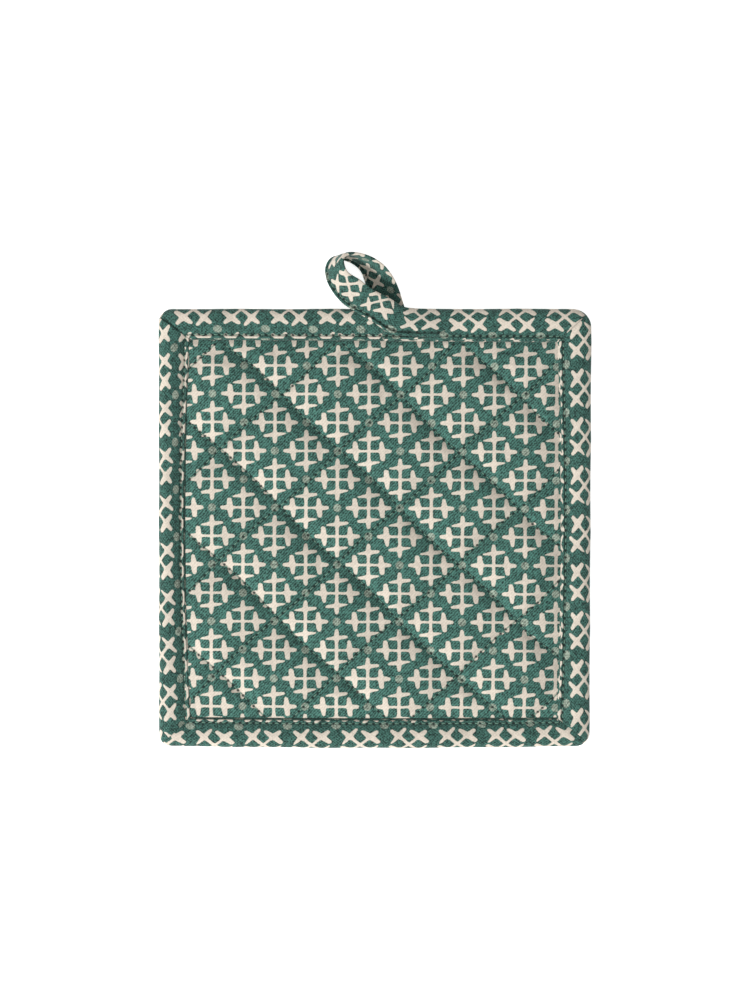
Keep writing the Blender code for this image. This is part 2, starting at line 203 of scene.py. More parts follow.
# Loop: a leaning band, from the binding's top strip round to its back. Seam is its topstitched
# edge, free its other edge, and crown how far its face domes.
LoopRow = namedtuple("LoopRow", "name seam_x seam_y seam_z free_x free_y free_z thickness crown")
LOOP_ROWS = tuple(LoopRow(*row) for row in (
    ("under the strip", 35.5, 75.3, 3.4, 35.7, 86.9, 2.3, 0.7, 2.0),
    ("level with the strip", 28.0, 74.6, 4.9, 28.6, 87.4, 3.6, 0.9, 2.2),
    ("on the strip", 21.0, 74.6, 5.7, 22.2, 87.7, 4.6, 1.0, 1.9),
    ("rising", 14.5, 75.0, 6.5, 17.4, 87.9, 6.0, 1.2, 1.2),
    ("start on the binding", 7.2, 76.0, 7.3, 12.6, 88.7, 7.7, 1.3, 0.7),
    ("across the binding", -2.1, 82.0, 7.7, 6.6, 92.2, 9.9, 1.5, 0.5),
    ("over the outer edge", -10.6, 87.0, 7.3, -1.6, 96.4, 12.0, 1.6, 0.5),
    ("clear of the binding", -15.6, 90.6, 6.6, -6.8, 100.4, 13.0, 1.6, 0.5),
    ("near leg", -19.2, 95.0, 6.0, -11.8, 103.4, 13.6, 1.6, 0.5),
    ("before the turn", -22.0, 100.4, 5.3, -13.8, 106.4, 13.7, 1.6, 0.4),
    ("turn, outer side", -22.6, 105.8, 4.4, -14.2, 110.3, 13.3, 1.6, 0.3),
    ("turn, middle", -20.6, 109.9, 3.1, -11.8, 112.4, 12.8, 1.6, 0.2),
    ("turn, far side", -16.6, 111.2, 1.8, -8.2, 112.5, 12.5, 1.6, 0.2),
    ("far leg, start", -12.0, 110.1, 1.0, -4.2, 111.7, 12.2, 1.6, 0.2),
    ("far leg, upper", -8.1, 107.4, 0.9, -0.2, 110.1, 11.6, 1.6, 0.2),
    ("far leg, middle", -6.0, 104.2, 0.9, 4.2, 107.2, 9.6, 1.6, 0.2),
    ("far leg, lower", -4.6, 99.8, 0.9, 8.2, 102.6, 6.0, 1.5, 0.1),
    ("before the binding", -2.8, 94.6, 0.8, 10.9, 97.2, 2.9, 1.3, 0.0),
    ("at the outer edge", -0.4, 89.6, 0.55, 12.9, 91.2, 0.9, 1.0, 0.0),
    ("behind the binding", 0.9, 83.4, 0.5, 14.8, 84.6, 0.5, 0.9, 0.0),
    ("sewn end", 2.2, 78.2, 0.5, 16.0, 79.2, 0.5, 0.9, 0.0),
))

# Steps between the rows, shares of the width at which the loop's faces have points, its sewn edge,
# and how the print that goes on from the top strip lies on it
LOOP_STEPS = 10
LOOP_SHARES = (0.0, 0.015, 0.035, 0.055, 0.075, 0.09, 0.105, 0.12, 0.135, 0.15, 0.17, 0.20, 0.26,
               0.34, 0.43, 0.52, 0.61, 0.70, 0.79, 0.87, 0.93, 0.97, 0.99, 1.0)
LOOP_STITCH_SHARE = 0.15
LOOP_GROOVE_WIDTH = 0.036
LOOP_HOLE_DEPTH, LOOP_HOLE_WIDTH = 0.18, 0.05
LOOP_ROLL, LOOP_ROLL_AT = 0.6, (0.07, 0.04)
LOOP_UNEVEN_RISE, LOOP_UNEVEN_LENGTHS = 0.10, (6.1, 9.7, 14.3)
LOOP_THREAD_LIFT = 0.05
LOOP_WIDTH = 14.4
LOOP_PRINT_X = 20.87
LOOP_PRINT_CENTRE = 9.8
LOOP_PERIOD_FROM, LOOP_PERIOD_OVER = 8.0, 14.0
LOOP_NEAR_ROWS = 5
LOOP_NUDGED, LOOP_NUDGE_SPREAD = 1.0, 0.45
LOOP_NUDGE_ACROSS, LOOP_NUDGE_ALONG = 1.6, 0.12
LOOP_STITCHES_FROM, LOOP_STITCHES_LEFT_OUT = 12, 5

# The printed cross, in millimetres: each pair of arms widens towards a star point, where a bar lies
# across it. The bar leans, and its bias makes one end thicker.
Arms = namedtuple("Arms", "star lean thin wide tip reach bar bar_end bias")
CROSS_ARMS = (
    Arms(6.1, -0.08, 0.54, 1.08, 10.6, 4.55, 1.38, 0.86, -0.14),
    Arms(5.65, 0.11, 0.73, 1.10, 9.75, 5.3, 1.02, 0.44, 0.16),
)
DOT_RADIUS, DOT_EDGE = 1.65, 2.0

# Cloth
TWILL_SLANT = math.radians(47.0)
YARN_BEND = 0.0007
CELLS_ALONG, CELLS_ACROSS = 1.6, 2.0
# Shares of the cloth's shade: painted shade and highlight of the yarns' relief, and the yarns' own
# random tone
RELIEF_SHADE_SHARE, OWN_SHARE = 0.46, 0.54
SPECKLE_SHARE, WEAVE_SHARE = 0.14, 0.86
BINDING_DARKNESS = 0.80
# Each colour's share where the cloth's shade is lowest and highest: the darkest and lightest yarns,
# partly their own tone and partly painted shade and highlight of their relief
GREEN_LOW, GREEN_HIGH = 0.22, (2.22, 1.92, 1.89)
CREAM_LOW, CREAM_HIGH = 0.86, 1.10
DOT_LOW, DOT_HIGH = 0.35, 1.45
THREAD_LOW, THREAD_HIGH = 0.6, 1.3
# Strength of the dots; then the painted shade along the seams and stitch lines and in the needle
# holes: its strengths, the holes' size, and its colours
DOT_STRENGTH, SEAM_SHADE_STRENGTH, HOLE_SHADE_STRENGTH = 0.85, 0.35, 0.9
HOLE_RADIUS, HOLE_EDGE = 0.38, 0.85
SEAM_SHADE_COLOUR = (0.01, 0.025, 0.02, 1.0)
HOLE_SHADE_COLOUR = (0.006, 0.015, 0.012, 1.0)

# Thread
THREAD_RADIUS = 0.17
THREAD_SIDES = 6
# Share of the stitch and height at each ring of the bowed thread
THREAD_PATH = ((-0.5, -0.34), (-0.42, 0.02), (-0.2, 0.16), (0.0, 0.19), (0.2, 0.16),
               (0.42, 0.02), (0.5, -0.34))

# View and light
VIEW_HEIGHT = 0.4608
VIEW_CENTRE_Y = -0.0005
CLOTH_MIDDLE_Z = 0.005
LENS = 100.0
SENSOR = 36.0
FLOOR_Z = -0.0002
FLOOR_HALF_SIZE = 1.6
FLOOR_GLOW = 0.70
SKY_STRENGTH = 0.40
# Name, place, size across and power
SOFT_LIGHTS = (
    ("key_from_lower_left", (-1.40, -1.18, 1.62), 0.6, 71.0),
    ("fill_from_above", (0.3, 0.3, 1.8), 1.6, 5.0),
)


def linear(red, green, blue):
    """Scene colour of a screen colour given from 0 to 255."""
    values = []
    for value in (red, green, blue):
        share = value / 255.0
        values.append(share / 12.92 if share <= 0.04045 else ((share + 0.055) / 1.055) ** 2.4)
    return tuple(values)


# Sizes and colours that a user may change

class PotHolderSizes(bpy.types.PropertyGroup):
    crown: FloatProperty(
        name="Crown", description="Height of a quilted diamond above its seams",
        default=0.0030, min=0.0, max=0.006, unit="LENGTH")
    yarn: FloatProperty(
        name="Yarn", description="Distance from one yarn of the cloth to the next",
        default=0.00106, min=0.0002, max=0.003, unit="LENGTH")
    weave_relief: FloatProperty(
        name="Weave relief", description="Height of the yarns in the bump",
        default=0.00005, min=0.0, max=0.0005, unit="LENGTH")
    stitch_share: FloatProperty(
        name="Stitch share", description="Share of each stitch's pitch that shows as thread",
        default=0.64, min=0.3, max=1.0, subtype="FACTOR")


class PotHolderColours(bpy.types.PropertyGroup):
    green: FloatVectorProperty(
        name="Ground", description="Colour of the printed ground",
        default=linear(50, 90, 82), size=3, min=0.0, max=1.0, subtype="COLOR")
    cream: FloatVectorProperty(
        name="Cross", description="Colour of the crosses",
        default=linear(199, 189, 175), size=3, min=0.0, max=1.0, subtype="COLOR")
    dot: FloatVectorProperty(
        name="Dot", description="Colour of the dots",
        default=linear(138, 148, 134), size=3, min=0.0, max=1.0, subtype="COLOR")
    thread: FloatVectorProperty(
        name="Thread", description="Colour of the sewing thread",
        default=linear(112, 146, 128), size=3, min=0.0, max=1.0, subtype="COLOR")


def settings():
    scene = bpy.context.scene
    return scene.pot_holder_sizes, scene.pot_holder_colours


# Shapes

def ramp(value, start, end):
    """0 at start, 1 at end, smooth between; start may be the larger one."""
    t = np.clip((value - start) / (end - start), 0.0, 1.0)
    return t * t * (3.0 - 2.0 * t)


def smooth_value(before, start, end, after, t):
    """Value on the smooth curve through four neighbours, t from 0 at start to 1 at end."""
    slope = (end - before) / 2.0
    end_slope = (after - start) / 2.0
    rise = end - start
    curve = 3.0 * rise - 2.0 * slope - end_slope
    bend = slope + end_slope - 2.0 * rise
    return start + t * (slope + t * (curve + t * bend))


def smooth_rows(padded, steps):
    """Finer rows from the second to the last but one, on the smooth curve through all of them."""
    neighbours = padded[:-3], padded[1:-2], padded[2:-1], padded[3:]
    finer = [smooth_value(*neighbours, step / steps) for step in range(steps)]
    return np.stack(finer, axis=1).reshape(-1, *padded.shape[1:])


def bell(value, middle, width):
    """1 at the middle, and fading smoothly on both sides of it."""
    return np.exp(-((value - middle) / width) ** 2)


def needle_hole(stitches):
    """1 at each needle hole of counted stitches, 0 halfway between."""
    return 0.5 + 0.5 * np.cos(2.0 * math.pi * stitches)


def unevenness(values, seed, wavelengths):
    """Soft waves along a run, from -1 to 1, the same on every run of the script."""
    total = np.zeros_like(values)
    for index, length in enumerate(wavelengths):
        total += np.sin(2.0 * math.pi * values / length + seed * (index + 1.7)) / len(wavelengths)
    return total


def link_piece(mesh, name, material):
    mesh.materials.append(material)
    mesh.shade_smooth()
    piece = bpy.data.objects.new(name, mesh)
    bpy.context.scene.collection.objects.link(piece)
    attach(piece, BODY)
    return piece


def corner_vertices(mesh):
    """Number of the vertex at each corner of each face."""
    numbers = np.empty(len(mesh.loops), dtype=np.int32)
    mesh.loops.foreach_get("vertex_index", numbers)
    return numbers


def write_uv(mesh, name, values):
    """One UV place for each corner of each face."""
    layer = mesh.uv_layers.new(name=name)
    layer.data.foreach_set("uv", np.asarray(values, dtype=np.float32).ravel())


# Quilted panel

def quilt_cell(x, y):
    """Place of a point in the slanting grid of seams, whole numbers on the seams."""
    across = (x - QUILT_X) / QUILT_HALF_WIDTH
    along = (y - QUILT_Y) / QUILT_HALF_LENGTH
    return (across + along) / 2.0, (across - along) / 2.0


def puff(x, y):
    """Share of the crown, 0 on a seam and about 1 in the middle of a diamond."""
    rise, fall = quilt_cell(x, y)
    height = np.ones_like(rise)
    for place in (rise, fall):
        within = place - np.floor(place)
        height = height * (1.0 - np.abs(2.0 * within - 1.0) ** CROWN_POWER)
    uneven = np.sin(2.1 * np.floor(rise) + 3.7 * np.floor(fall))
    return height * (1.0 - CROWN_UNEVENNESS + CROWN_UNEVENNESS * uneven)


def inset(x, y):
    """Distance in from the nearest open edge, negative under the binding."""
    return np.minimum(np.minimum(x - OPEN_LEFT, OPEN_RIGHT - x),
                      np.minimum(y - OPEN_BOTTOM, OPEN_TOP - y))


def wandered(x, y):
    """The quilting's slight turn and wander, which fade out at the binding."""
    share = ramp(inset(x, y), 0.0, WARP_FADE)
    middle_x = (OPEN_LEFT + OPEN_RIGHT) / 2.0
    middle_y = (OPEN_BOTTOM + OPEN_TOP) / 2.0
    wave = 2.0 * math.pi / QUILT_WANDER_LENGTH
    shift_x = -(y - middle_y) * QUILT_TURN + QUILT_WANDER * np.sin(wave * y + 0.7)
    shift_y = (x - middle_x) * QUILT_TURN + QUILT_WANDER * np.sin(wave * x * 0.8 + 2.0)
    return x + share * shift_x, y + share * shift_y


def between(x, left, right, slope):
    """1 between left and right, falling to 0 over the slope's length outside them."""
    return np.minimum(np.clip((x - left + slope) / slope, 0.0, 1.0),
                      np.clip((right + slope - x) / slope, 0.0, 1.0))


def panel_low(x, y, share):
    """Underside of the panel, which gives way to the loop's sewn end."""
    low = PRESSED_LOW * np.maximum(0.0, 1.0 - BACK_FULLNESS * share)
    beyond = np.clip((y - OPEN_TOP) / 2.0, 0.0, 1.0)
    return low + TUCK_LIFT * between(x, *PANEL_TUCK) * beyond


def lattice_lines(low, high, origin, step):
    """Evenly spaced lines in step with the quilting, the first and last moved onto the edges."""
    first = math.ceil((low - origin) / step)
    last = math.floor((high - origin) / step)
    lines = origin + step * np.arange(first, last + 1)
    if lines[0] - low > step / 3.0:
        lines = np.concatenate([[low], lines])
    if high - lines[-1] > step / 3.0:
        lines = np.concatenate([lines, [high]])
    lines[0], lines[-1] = low, high
    return lines


def layer_faces(rows, columns, start, flip):
    """Quads of one layer of a grid whose vertices begin at start."""
    numbers = start + np.arange(rows * columns).reshape(rows, columns)
    quads = [numbers[:-1, :-1], numbers[:-1, 1:], numbers[1:, 1:], numbers[1:, :-1]]
    if flip:
        quads = quads[::-1]
    return np.stack([quad.ravel() for quad in quads], axis=1)


def rim_faces(rows, columns, offset):
    """Quads that join the edges of two layers offset vertices apart."""
    numbers = np.arange(rows * columns).reshape(rows, columns)
    sides = numbers[0, :-1], numbers[:-1, -1], numbers[-1, :0:-1], numbers[:0:-1, 0]
    edge = np.concatenate(sides)
    after = np.roll(edge, -1)
    return np.stack([after, edge, edge + offset, after + offset], axis=1)


def pad_mesh(name, front, back):
    """Closed mesh of two grids of points with the same rows and columns."""
    rows, columns = front.shape[:2]
    count = rows * columns
    points = np.concatenate([front.reshape(-1, 3), back.reshape(-1, 3)])
    faces = np.concatenate([layer_faces(rows, columns, 0, False),
                            layer_faces(rows, columns, count, True),
                            rim_faces(rows, columns, count)])
    mesh = bpy.data.meshes.new(name)
    mesh.from_pydata(points.tolist(), [], faces.tolist())
    mesh.validate()
    return mesh


def padded_layers(xs, ys, crown, fullness):
    """Front and back points of the panel, with the given share of the quilting's fullness."""
    x, y = np.meshgrid(xs, ys)
    share = puff(x, y) * ramp(inset(x, y), 0.0, EDGE_DRAW_IN)
    high = PRESSED_HIGH + crown * share * fullness
    high = high - EDGE_CREASE * bell(inset(x, y), -EDGE_CREASE_OUT, EDGE_CREASE_WIDTH)
    low = panel_low(x, y, share * fullness)
    new_x, new_y = wandered(x, y)
    for row in (0, -1):
        for column in (0, -1):
            new_x[row, column] -= math.copysign(PANEL_CORNER_CUT, new_x[row, column])
            new_y[row, column] -= math.copysign(PANEL_CORNER_CUT, new_y[row, column])
    return np.stack([new_x, new_y, high], axis=2), np.stack([new_x, new_y, low], axis=2)


def swell(front, back, held):
    """Fill the sewn pad with pressure in a cloth simulation and give its layers' new points."""
    mesh = pad_mesh("pad_for_swelling", front * MM * SWELL_SCALE, back * MM * SWELL_SCALE)
    pad = bpy.data.objects.new("pad_for_swelling", mesh)
    scene = bpy.context.scene
    scene.collection.objects.link(pad)
    group = pad.vertex_groups.new(name="sewn")
    group.add(np.flatnonzero(np.tile(held.ravel(), 2)).tolist(), 1.0, "REPLACE")
    cloth = pad.modifiers.new("pressure", "CLOTH")
    for name, value in SWELL_SETTINGS.items():
        setattr(cloth.settings, name, value)
    cloth.settings.effector_weights.gravity = 0.0
    cloth.collision_settings.use_collision = False
    cloth.point_cache.frame_start = 1
    cloth.point_cache.frame_end = SWELL_FRAMES
    for number in range(1, SWELL_FRAMES + 1):
        scene.frame_set(number)
    shown = pad.evaluated_get(bpy.context.evaluated_depsgraph_get())
    points = np.empty(2 * front.size)
    shown.data.vertices.foreach_get("co", points)
    scene.frame_set(1)
    bpy.data.objects.remove(pad, do_unlink=True)
    points = points.reshape(2, *front.shape) / (MM * SWELL_SCALE)
    layers = []
    for before, after in zip((front, back), points):
        move = after - before
        length = np.linalg.norm(move, axis=2, keepdims=True)
        layers.append(before + move * np.minimum(1.0, SWELL_CAP / np.maximum(length, 1e-9)))
    return layers


def refine(values, divisions):
    """Smooth finer grid through a grid of points, along both of its directions."""
    for axis in (0, 1):
        values = np.moveaxis(values, axis, 0)
        first, last = 2 * values[:1] - values[1:2], 2 * values[-1:] - values[-2:-1]
        finer = smooth_rows(np.concatenate([first, values, last]), divisions)
        values = np.moveaxis(np.concatenate([finer, values[-1:]]), 0, axis)
    return values


def refine_lines(lines, divisions):
    return np.interp(np.arange((len(lines) - 1) * divisions + 1) / divisions,
                     np.arange(len(lines)), lines)


def seam_places(x, y):
    """For both sets of seams: distance from the nearest seam, and stitches counted along it."""
    rise, fall = quilt_cell(x, y)
    length = math.hypot(QUILT_HALF_WIDTH, QUILT_HALF_LENGTH)
    spacing = 2.0 * QUILT_HALF_WIDTH * QUILT_HALF_LENGTH / length
    return ((np.abs(rise - np.round(rise)) * spacing, fall * STITCHES_A_SIDE),
            (np.abs(fall - np.round(fall)) * spacing, rise * STITCHES_A_SIDE))


def sew_seams(x, y, front, back):
    """Press the seams into both layers, deepest at the needle holes, with puckers between."""
    open_share = ramp(inset(x, y), *SEWN_FROM_EDGE)
    for distance, along in seam_places(x, y):
        depth = SEAM_DEPTH + HOLE_DEPTH * needle_hole(along)
        depth = depth * bell(distance, 0.0, SEAM_HALF_WIDTH)
        pucker = bell(distance, PUCKER_FROM_SEAM, PUCKER_WIDTH) * PUCKER_HEIGHT
        wave = 2.0 * math.pi * along / PUCKER_STITCHES
        pucker = pucker * np.cos(wave + PUCKER_DRIFT * np.sin(along / PUCKER_DRIFT_STITCHES))
        front[:, :, 2] -= (depth - pucker) * open_share
        back[:, :, 2] += BACK_SEAM_SHARE * depth * open_share


def panel_grid():
    """Coarse columns and rows of the panel, in step with the quilting."""
    xs = lattice_lines(PANEL_LEFT, PANEL_RIGHT, QUILT_X, QUILT_HALF_WIDTH / COARSE_STEPS)
    ys = lattice_lines(PANEL_BOTTOM, PANEL_TOP, QUILT_Y, QUILT_HALF_LENGTH / COARSE_STEPS)
    return xs, ys


class PanelSurface:
    """The finished panel's points and the places of the unturned quilting that they stand for."""

    def __init__(self, xs, ys, front, back):
        self.xs, self.ys, self.front, self.back = xs, ys, front, back

    def place(self, x, y, front):
        """Point of the front or back at a place of the unturned quilting."""
        column = np.interp(x, self.xs, np.arange(len(self.xs)))
        row = np.interp(y, self.ys, np.arange(len(self.ys)))
        left = int(min(column, len(self.xs) - 2))
        low = int(min(row, len(self.ys) - 2))
        across, up = column - left, row - low
        points = self.front if front else self.back
        near = points[low, left] * (1 - across) + points[low, left + 1] * across
        far = points[low + 1, left] * (1 - across) + points[low + 1, left + 1] * across
        return near * (1 - up) + far * up


# Finished surfaces by name, kept so that stitches can lie on them
surfaces = {}


def build_panel(crown):
    xs, ys = panel_grid()
    layers = padded_layers(xs, ys, crown, 1.0)
    swollen = layers
    x, y = np.meshgrid(xs, ys)
    nearest = np.minimum(*(np.abs(place - np.round(place)) for place in quilt_cell(x, y)))
    held = (nearest < HELD_AT_SEAM) | (inset(x, y) < HELD_AT_EDGE)
    swollen = swell(*padded_layers(xs, ys, crown, FULLNESS_BEFORE), held)
    xs, ys = refine_lines(xs, FINE_DIVISIONS), refine_lines(ys, FINE_DIVISIONS)
    x, y = np.meshgrid(xs, ys)
    nearest = np.minimum(*(distance for distance, _ in seam_places(x, y)))
    share = ramp(nearest, *SWOLLEN_FROM_SEAM) * ramp(inset(x, y), *SWOLLEN_FROM_EDGE)
    share = SWOLLEN_SHARE * share[:, :, None]
    front, back = (refine(calm, FINE_DIVISIONS) * (1.0 - share)
                   + refine(full, FINE_DIVISIONS) * share for calm, full in zip(layers, swollen))
    sew_seams(x, y, front, back)
    high = front[:, :, 2]
    high = np.where(inset(x, y) < HIDDEN_BEYOND, np.minimum(high, HIDDEN_HIGH), high)
    back[:, :, 2] = np.maximum(back[:, :, 2], 0.0)
    front[:, :, 2] = np.maximum(high, back[:, :, 2] + LEAST_THICKNESS)
    surfaces["panel"] = PanelSurface(xs, ys, front, back)
    mesh = pad_mesh("quilted_cloth", front * MM, back * MM)
    corners = corner_vertices(mesh) % x.size
    place = front.reshape(-1, 3)[corners]
    turn_x = place[:, 0] - PANEL_PRINT_X
    turn_y = place[:, 1] - PANEL_PRINT_Y
    cosine, sine = math.cos(PANEL_PRINT_TURN), math.sin(PANEL_PRINT_TURN)
    write_uv(mesh, "print", np.stack([turn_x * cosine + turn_y * sine,
                                      turn_y * cosine - turn_x * sine], axis=1) * MM)
    cells = [cell.ravel()[corners] for cell in quilt_cell(x, y)]
    write_uv(mesh, "quilting", np.stack(cells, axis=1))
    return mesh


# Lofts

def smooth_ring(values, steps):
    """Finer closed ring through a ring of values, smooth."""
    values = np.asarray(values, dtype=float)
    return smooth_rows(np.concatenate([values[-1:], values, values[:2]]), steps)


def loft_mesh(name, sections, ring):
    """Skin closed sections, given as rows of points; a ring's last row joins its first."""
    rows, count = sections.shape[:2]
    faces = []
    for row in range(rows if ring else rows - 1):
        after = (row + 1) % rows
        for index in range(count):
            beside = (index + 1) % count
            faces.append((row * count + index, row * count + beside,
                          after * count + beside, after * count + index))
    bm = bmesh.new()
    verts = [bm.verts.new(point) for point in sections.reshape(-1, 3) * MM]
    for face in faces:
        bm.faces.new([verts[number] for number in face])
    if not ring:
        bm.faces.new(verts[:count])
        bm.faces.new(verts[-count:])
    bmesh.ops.recalc_face_normals(bm, faces=bm.faces[:])
    mesh = bpy.data.meshes.new(name)
    bm.to_mesh(mesh)
    bm.free()
    return mesh


def strip_corners(mesh, rows, count):
    """Row and section place of each corner; where the skin closes, they count on past the last."""
    corners = corner_vertices(mesh)
    totals = np.empty(len(mesh.polygons), dtype=np.int32)
    mesh.polygons.foreach_get("loop_total", totals)
    face_of = np.repeat(np.arange(len(totals)), totals)
    found = []
    for values, limit in ((corners // count, rows), (corners % count, count)):
        low = np.full(len(totals), limit)
        high = np.zeros(len(totals), dtype=low.dtype)
        np.minimum.at(low, face_of, values)
        np.maximum.at(high, face_of, values)
        closing = (low == 0) & (high == limit - 1) & (totals == 4)
        found.append(np.where(closing[face_of] & (values == 0), limit, values))
    return found


# Binding

def corner_points(index, share):
    """Outer and inner point at a share of the turn round a corner."""
    corner = CORNERS[index % len(CORNERS)]
    start = math.pi / 2.0 * index
    middle, angle = start + math.pi / 4.0, start + math.pi / 2.0 * share
    points = []
    for radius, x, y in ((corner.radius, corner.outer_x, corner.outer_y),
                         (INNER_RADIUS, corner.inner_x, corner.inner_y)):
        centre_x = x - radius * math.copysign(1.0, math.cos(middle))
        centre_y = y - radius * math.copysign(1.0, math.sin(middle))
        points.append(np.array([centre_x + radius * math.cos(angle),
                                centre_y + radius * math.sin(angle)]))
    return points


Station = namedtuple("Station", "outer inner side from_start to_end")


def side_stations(index):
    """Outer and inner points along one strip, from one mitre to the next."""
    first, second = CORNERS[index], CORNERS[(index + 1) % len(CORNERS)]
    turn = np.arange(TURN_STEPS + 1) / TURN_STEPS
    lapped = first.mitre - MITRE_LAP
    marks = [corner_points(index, lapped + (1.0 - lapped) * share) for share in turn]
    start, end = marks[-1], corner_points(index + 1, 0.0)
    count = round(math.dist(start[0], end[0]) / STITCH_PITCH) * STATIONS_A_STITCH
    for step in range(1, count):
        share = step / count
        bow = side_outward(index) * math.sin(math.pi * share)
        outer, inner = (a + (b - a) * share for a, b in zip(start, end))
        marks.append((outer + bow * OUTER_BOW[index], inner + bow * INNER_BOW[index]))
    return marks + [corner_points(index + 1, second.mitre * share) for share in turn]


def binding_stations():
    """Outer and inner points with the side and the place along it, round the whole edge."""
    stations = []
    for index in range(len(CORNERS)):
        marks = side_stations(index)
        steps = [0.0]
        for before, after in zip(marks, marks[1:]):
            steps.append(math.dist((before[0] + before[1]) / 2.0, (after[0] + after[1]) / 2.0))
        along = np.cumsum(steps)
        for mark, place in zip(marks, along):
            stations.append(Station(mark[0], mark[1], index, place, along[-1] - place))
    return stations


def tuck_share(x, y):
    """1 where the binding gives way to the loop's sewn end."""
    return np.where(y < TUCK_FROM_Y, 0.0, between(x, *BINDING_TUCK))


def side_place(side, points):
    """Place of points along a strip in the direction that its print run is given in."""
    return points[..., 0] if side in (0, 2) else points[..., 1]


def section_fields():
    """Share of the width, height, giving way and sinking of each point of the smooth section."""
    return smooth_ring([point[1:] for point in BINDING_SECTION], SECTION_SMOOTHING).T


def binding_surface(stations):
    """Rows of section points, one row for each station, and how far along each row is."""
    share, height, gives_way, sinks = section_fields()
    front = height > FRONT_ABOVE
    outer = np.array([station.outer for station in stations])
    inner = np.array([station.inner for station in stations])
    middle = (outer + inner) / 2.0
    steps = np.linalg.norm(np.roll(middle, -1, 0) - middle, axis=1)
    along = np.concatenate([[0.0], np.cumsum(steps)[:-1]])
    turn = 2.0 * math.pi * along / steps.sum()
    edge_shift = np.abs(EDGE_WANDER * np.sin(EDGE_WAVES * turn + 1.0))
    width = np.linalg.norm(outer - inner, axis=1)
    moved = share + (edge_shift / width)[:, None] * (1.0 - share)
    flat = outer[:, None, :] + (inner - outer)[:, None, :] * moved[:, :, None]
    rise = TOP_WANDER * np.sin(TOP_WAVES * turn)
    rise = rise + UNEVEN_RISE * unevenness(along, 1.3, UNEVEN_LENGTHS)
    z = height + TUCK_LIFT * gives_way * tuck_share(flat[:, :, 0], flat[:, :, 1])
    z = z + rise[:, None] * sinks
    left = np.array([station.side == 1 for station in stations])
    droop = np.clip((share - LEFT_DROOP_FROM) / LEFT_DROOP_OVER, 0.0, 1.0) ** LEFT_DROOP_POWER
    droop = droop * front * (1.0 - LEFT_DROOP_LOST * ramp(share, *LEFT_DROOP_RIDGE))
    z = z - LEFT_DROOP * left[:, None] * droop
    hole = needle_hole(along / STITCH_PITCH)[:, None]
    for place, spread, between, at_hole in SEWN_FORMS:
        z = z + bell(share, place, spread) * front * (between + at_hole * hole)
    from_start = np.array([station.from_start for station in stations])
    to_end = np.array([station.to_end for station in stations])
    lap = MITRE_RISE * bell(from_start, 0.0, MITRE_RISE_WIDTH)
    lap = lap - MITRE_SINK * bell(to_end, 0.0, MITRE_SINK_WIDTH)
    z = z + lap[:, None] * np.maximum(sinks, MITRE_LEAST_SHARE * front)
    return np.concatenate([flat, z[:, :, None]], axis=2), along


def section_lengths(points):
    """Distance round each section from its first point, one more value than it has points."""
    steps = np.linalg.norm(np.roll(points, -1, 1) - points, axis=2)
    return np.concatenate([np.zeros((len(points), 1)), np.cumsum(steps, axis=1)], axis=1)


def side_outward(side):
    """Unit vector out of the pot holder from one side: top, left, bottom, right."""
    return np.array(((0.0, 1.0), (-1.0, 0.0), (0.0, -1.0), (1.0, 0.0))[side])


def inward_at_inset(points, lengths, edge, value):
    """Distance along the front face from the outer edge to a place that lies value in from it."""
    out = np.linalg.norm(points[:edge + 1, :2] - points[edge, :2], axis=1)[::-1]
    return float(np.interp(value, out, (lengths[edge] - lengths[:edge + 1])[::-1]))


def print_place(cross, row):
    """Print coordinates in metres of counted crosses along a strip and rows across it."""
    x = (cross + row) * PRINT_HALF_X
    y = (row - cross) * PRINT_HALF_Y
    return np.stack([x, y], axis=-1) * MM


def run_of(side, x):
    """Print run of a station: the top strip has one on each side of the loop."""
    if side == 0:
        return PRINT_RUNS[0] if x > RUN_CHANGE_X else PRINT_RUNS[1]
    return PRINT_RUNS[side + 1]


def binding_print(stations, points):
    """Print coordinates of each section point, with one more station and point for the closing."""
    count = len(stations)
    lengths = section_lengths(points)
    edges = [int(np.argmax(np.linalg.norm(row[:, :2] - row[0, :2], axis=1))) for row in points]
    reach = {side: max(float(station.outer @ side_outward(side)) for station in stations
                       if station.side == side) for side in range(len(CORNERS))}
    middle = {station.side: number for number, station in enumerate(stations)
              if station.from_start < station.to_end}
    places = np.zeros((count + 1, points.shape[1] + 1, 2))
    for number in range(count + 1):
        wrapped = number % count
        station, row, edge = stations[wrapped], points[wrapped], edges[wrapped]
        outward = side_outward(station.side)
        run = run_of(station.side, station.outer[0])
        closed = np.concatenate([row, row[:1]])
        place = side_place(station.side, closed)
        share = (place - run.start) / (run.end - run.start)
        slant = abs(float((station.outer - station.inner) @ outward))
        slant /= float(np.linalg.norm(station.outer - station.inner))
        shortfall = reach[station.side] - float(station.outer @ outward)
        inward = (lengths[wrapped][edge] - lengths[wrapped]) * slant
        inward = inward + np.where(inward >= 0.0, shortfall, -shortfall)
        at = middle[station.side]
        first, last = (inward_at_inset(points[at], lengths[at], edges[at], value)
                       for value in (run.start_inset, run.end_inset))
        centre = first + (last - first) * share
        places[number] = print_place(-share * run.crosses, (centre - inward) / run.period_across)
    return places


def stitch_line(stations, points, along):
    """Stitches counted along each section, and millimetres across from the stitch line."""
    share, height = section_fields()[:2]
    outside = (height > FRONT_ABOVE) | (height < BACK_BELOW)
    widths = np.array([np.linalg.norm(station.outer - station.inner) for station in stations])
    across = np.where(outside, share - STITCH_SHARE, 9.0)
    across = np.concatenate([across, across[:1]])[None, :] * np.append(widths, widths[0])[:, None]
    counted = np.append(along, along[-1] + 1.0) / STITCH_PITCH
    return np.stack([np.broadcast_to(counted[:, None], across.shape), across * MM], axis=-1)


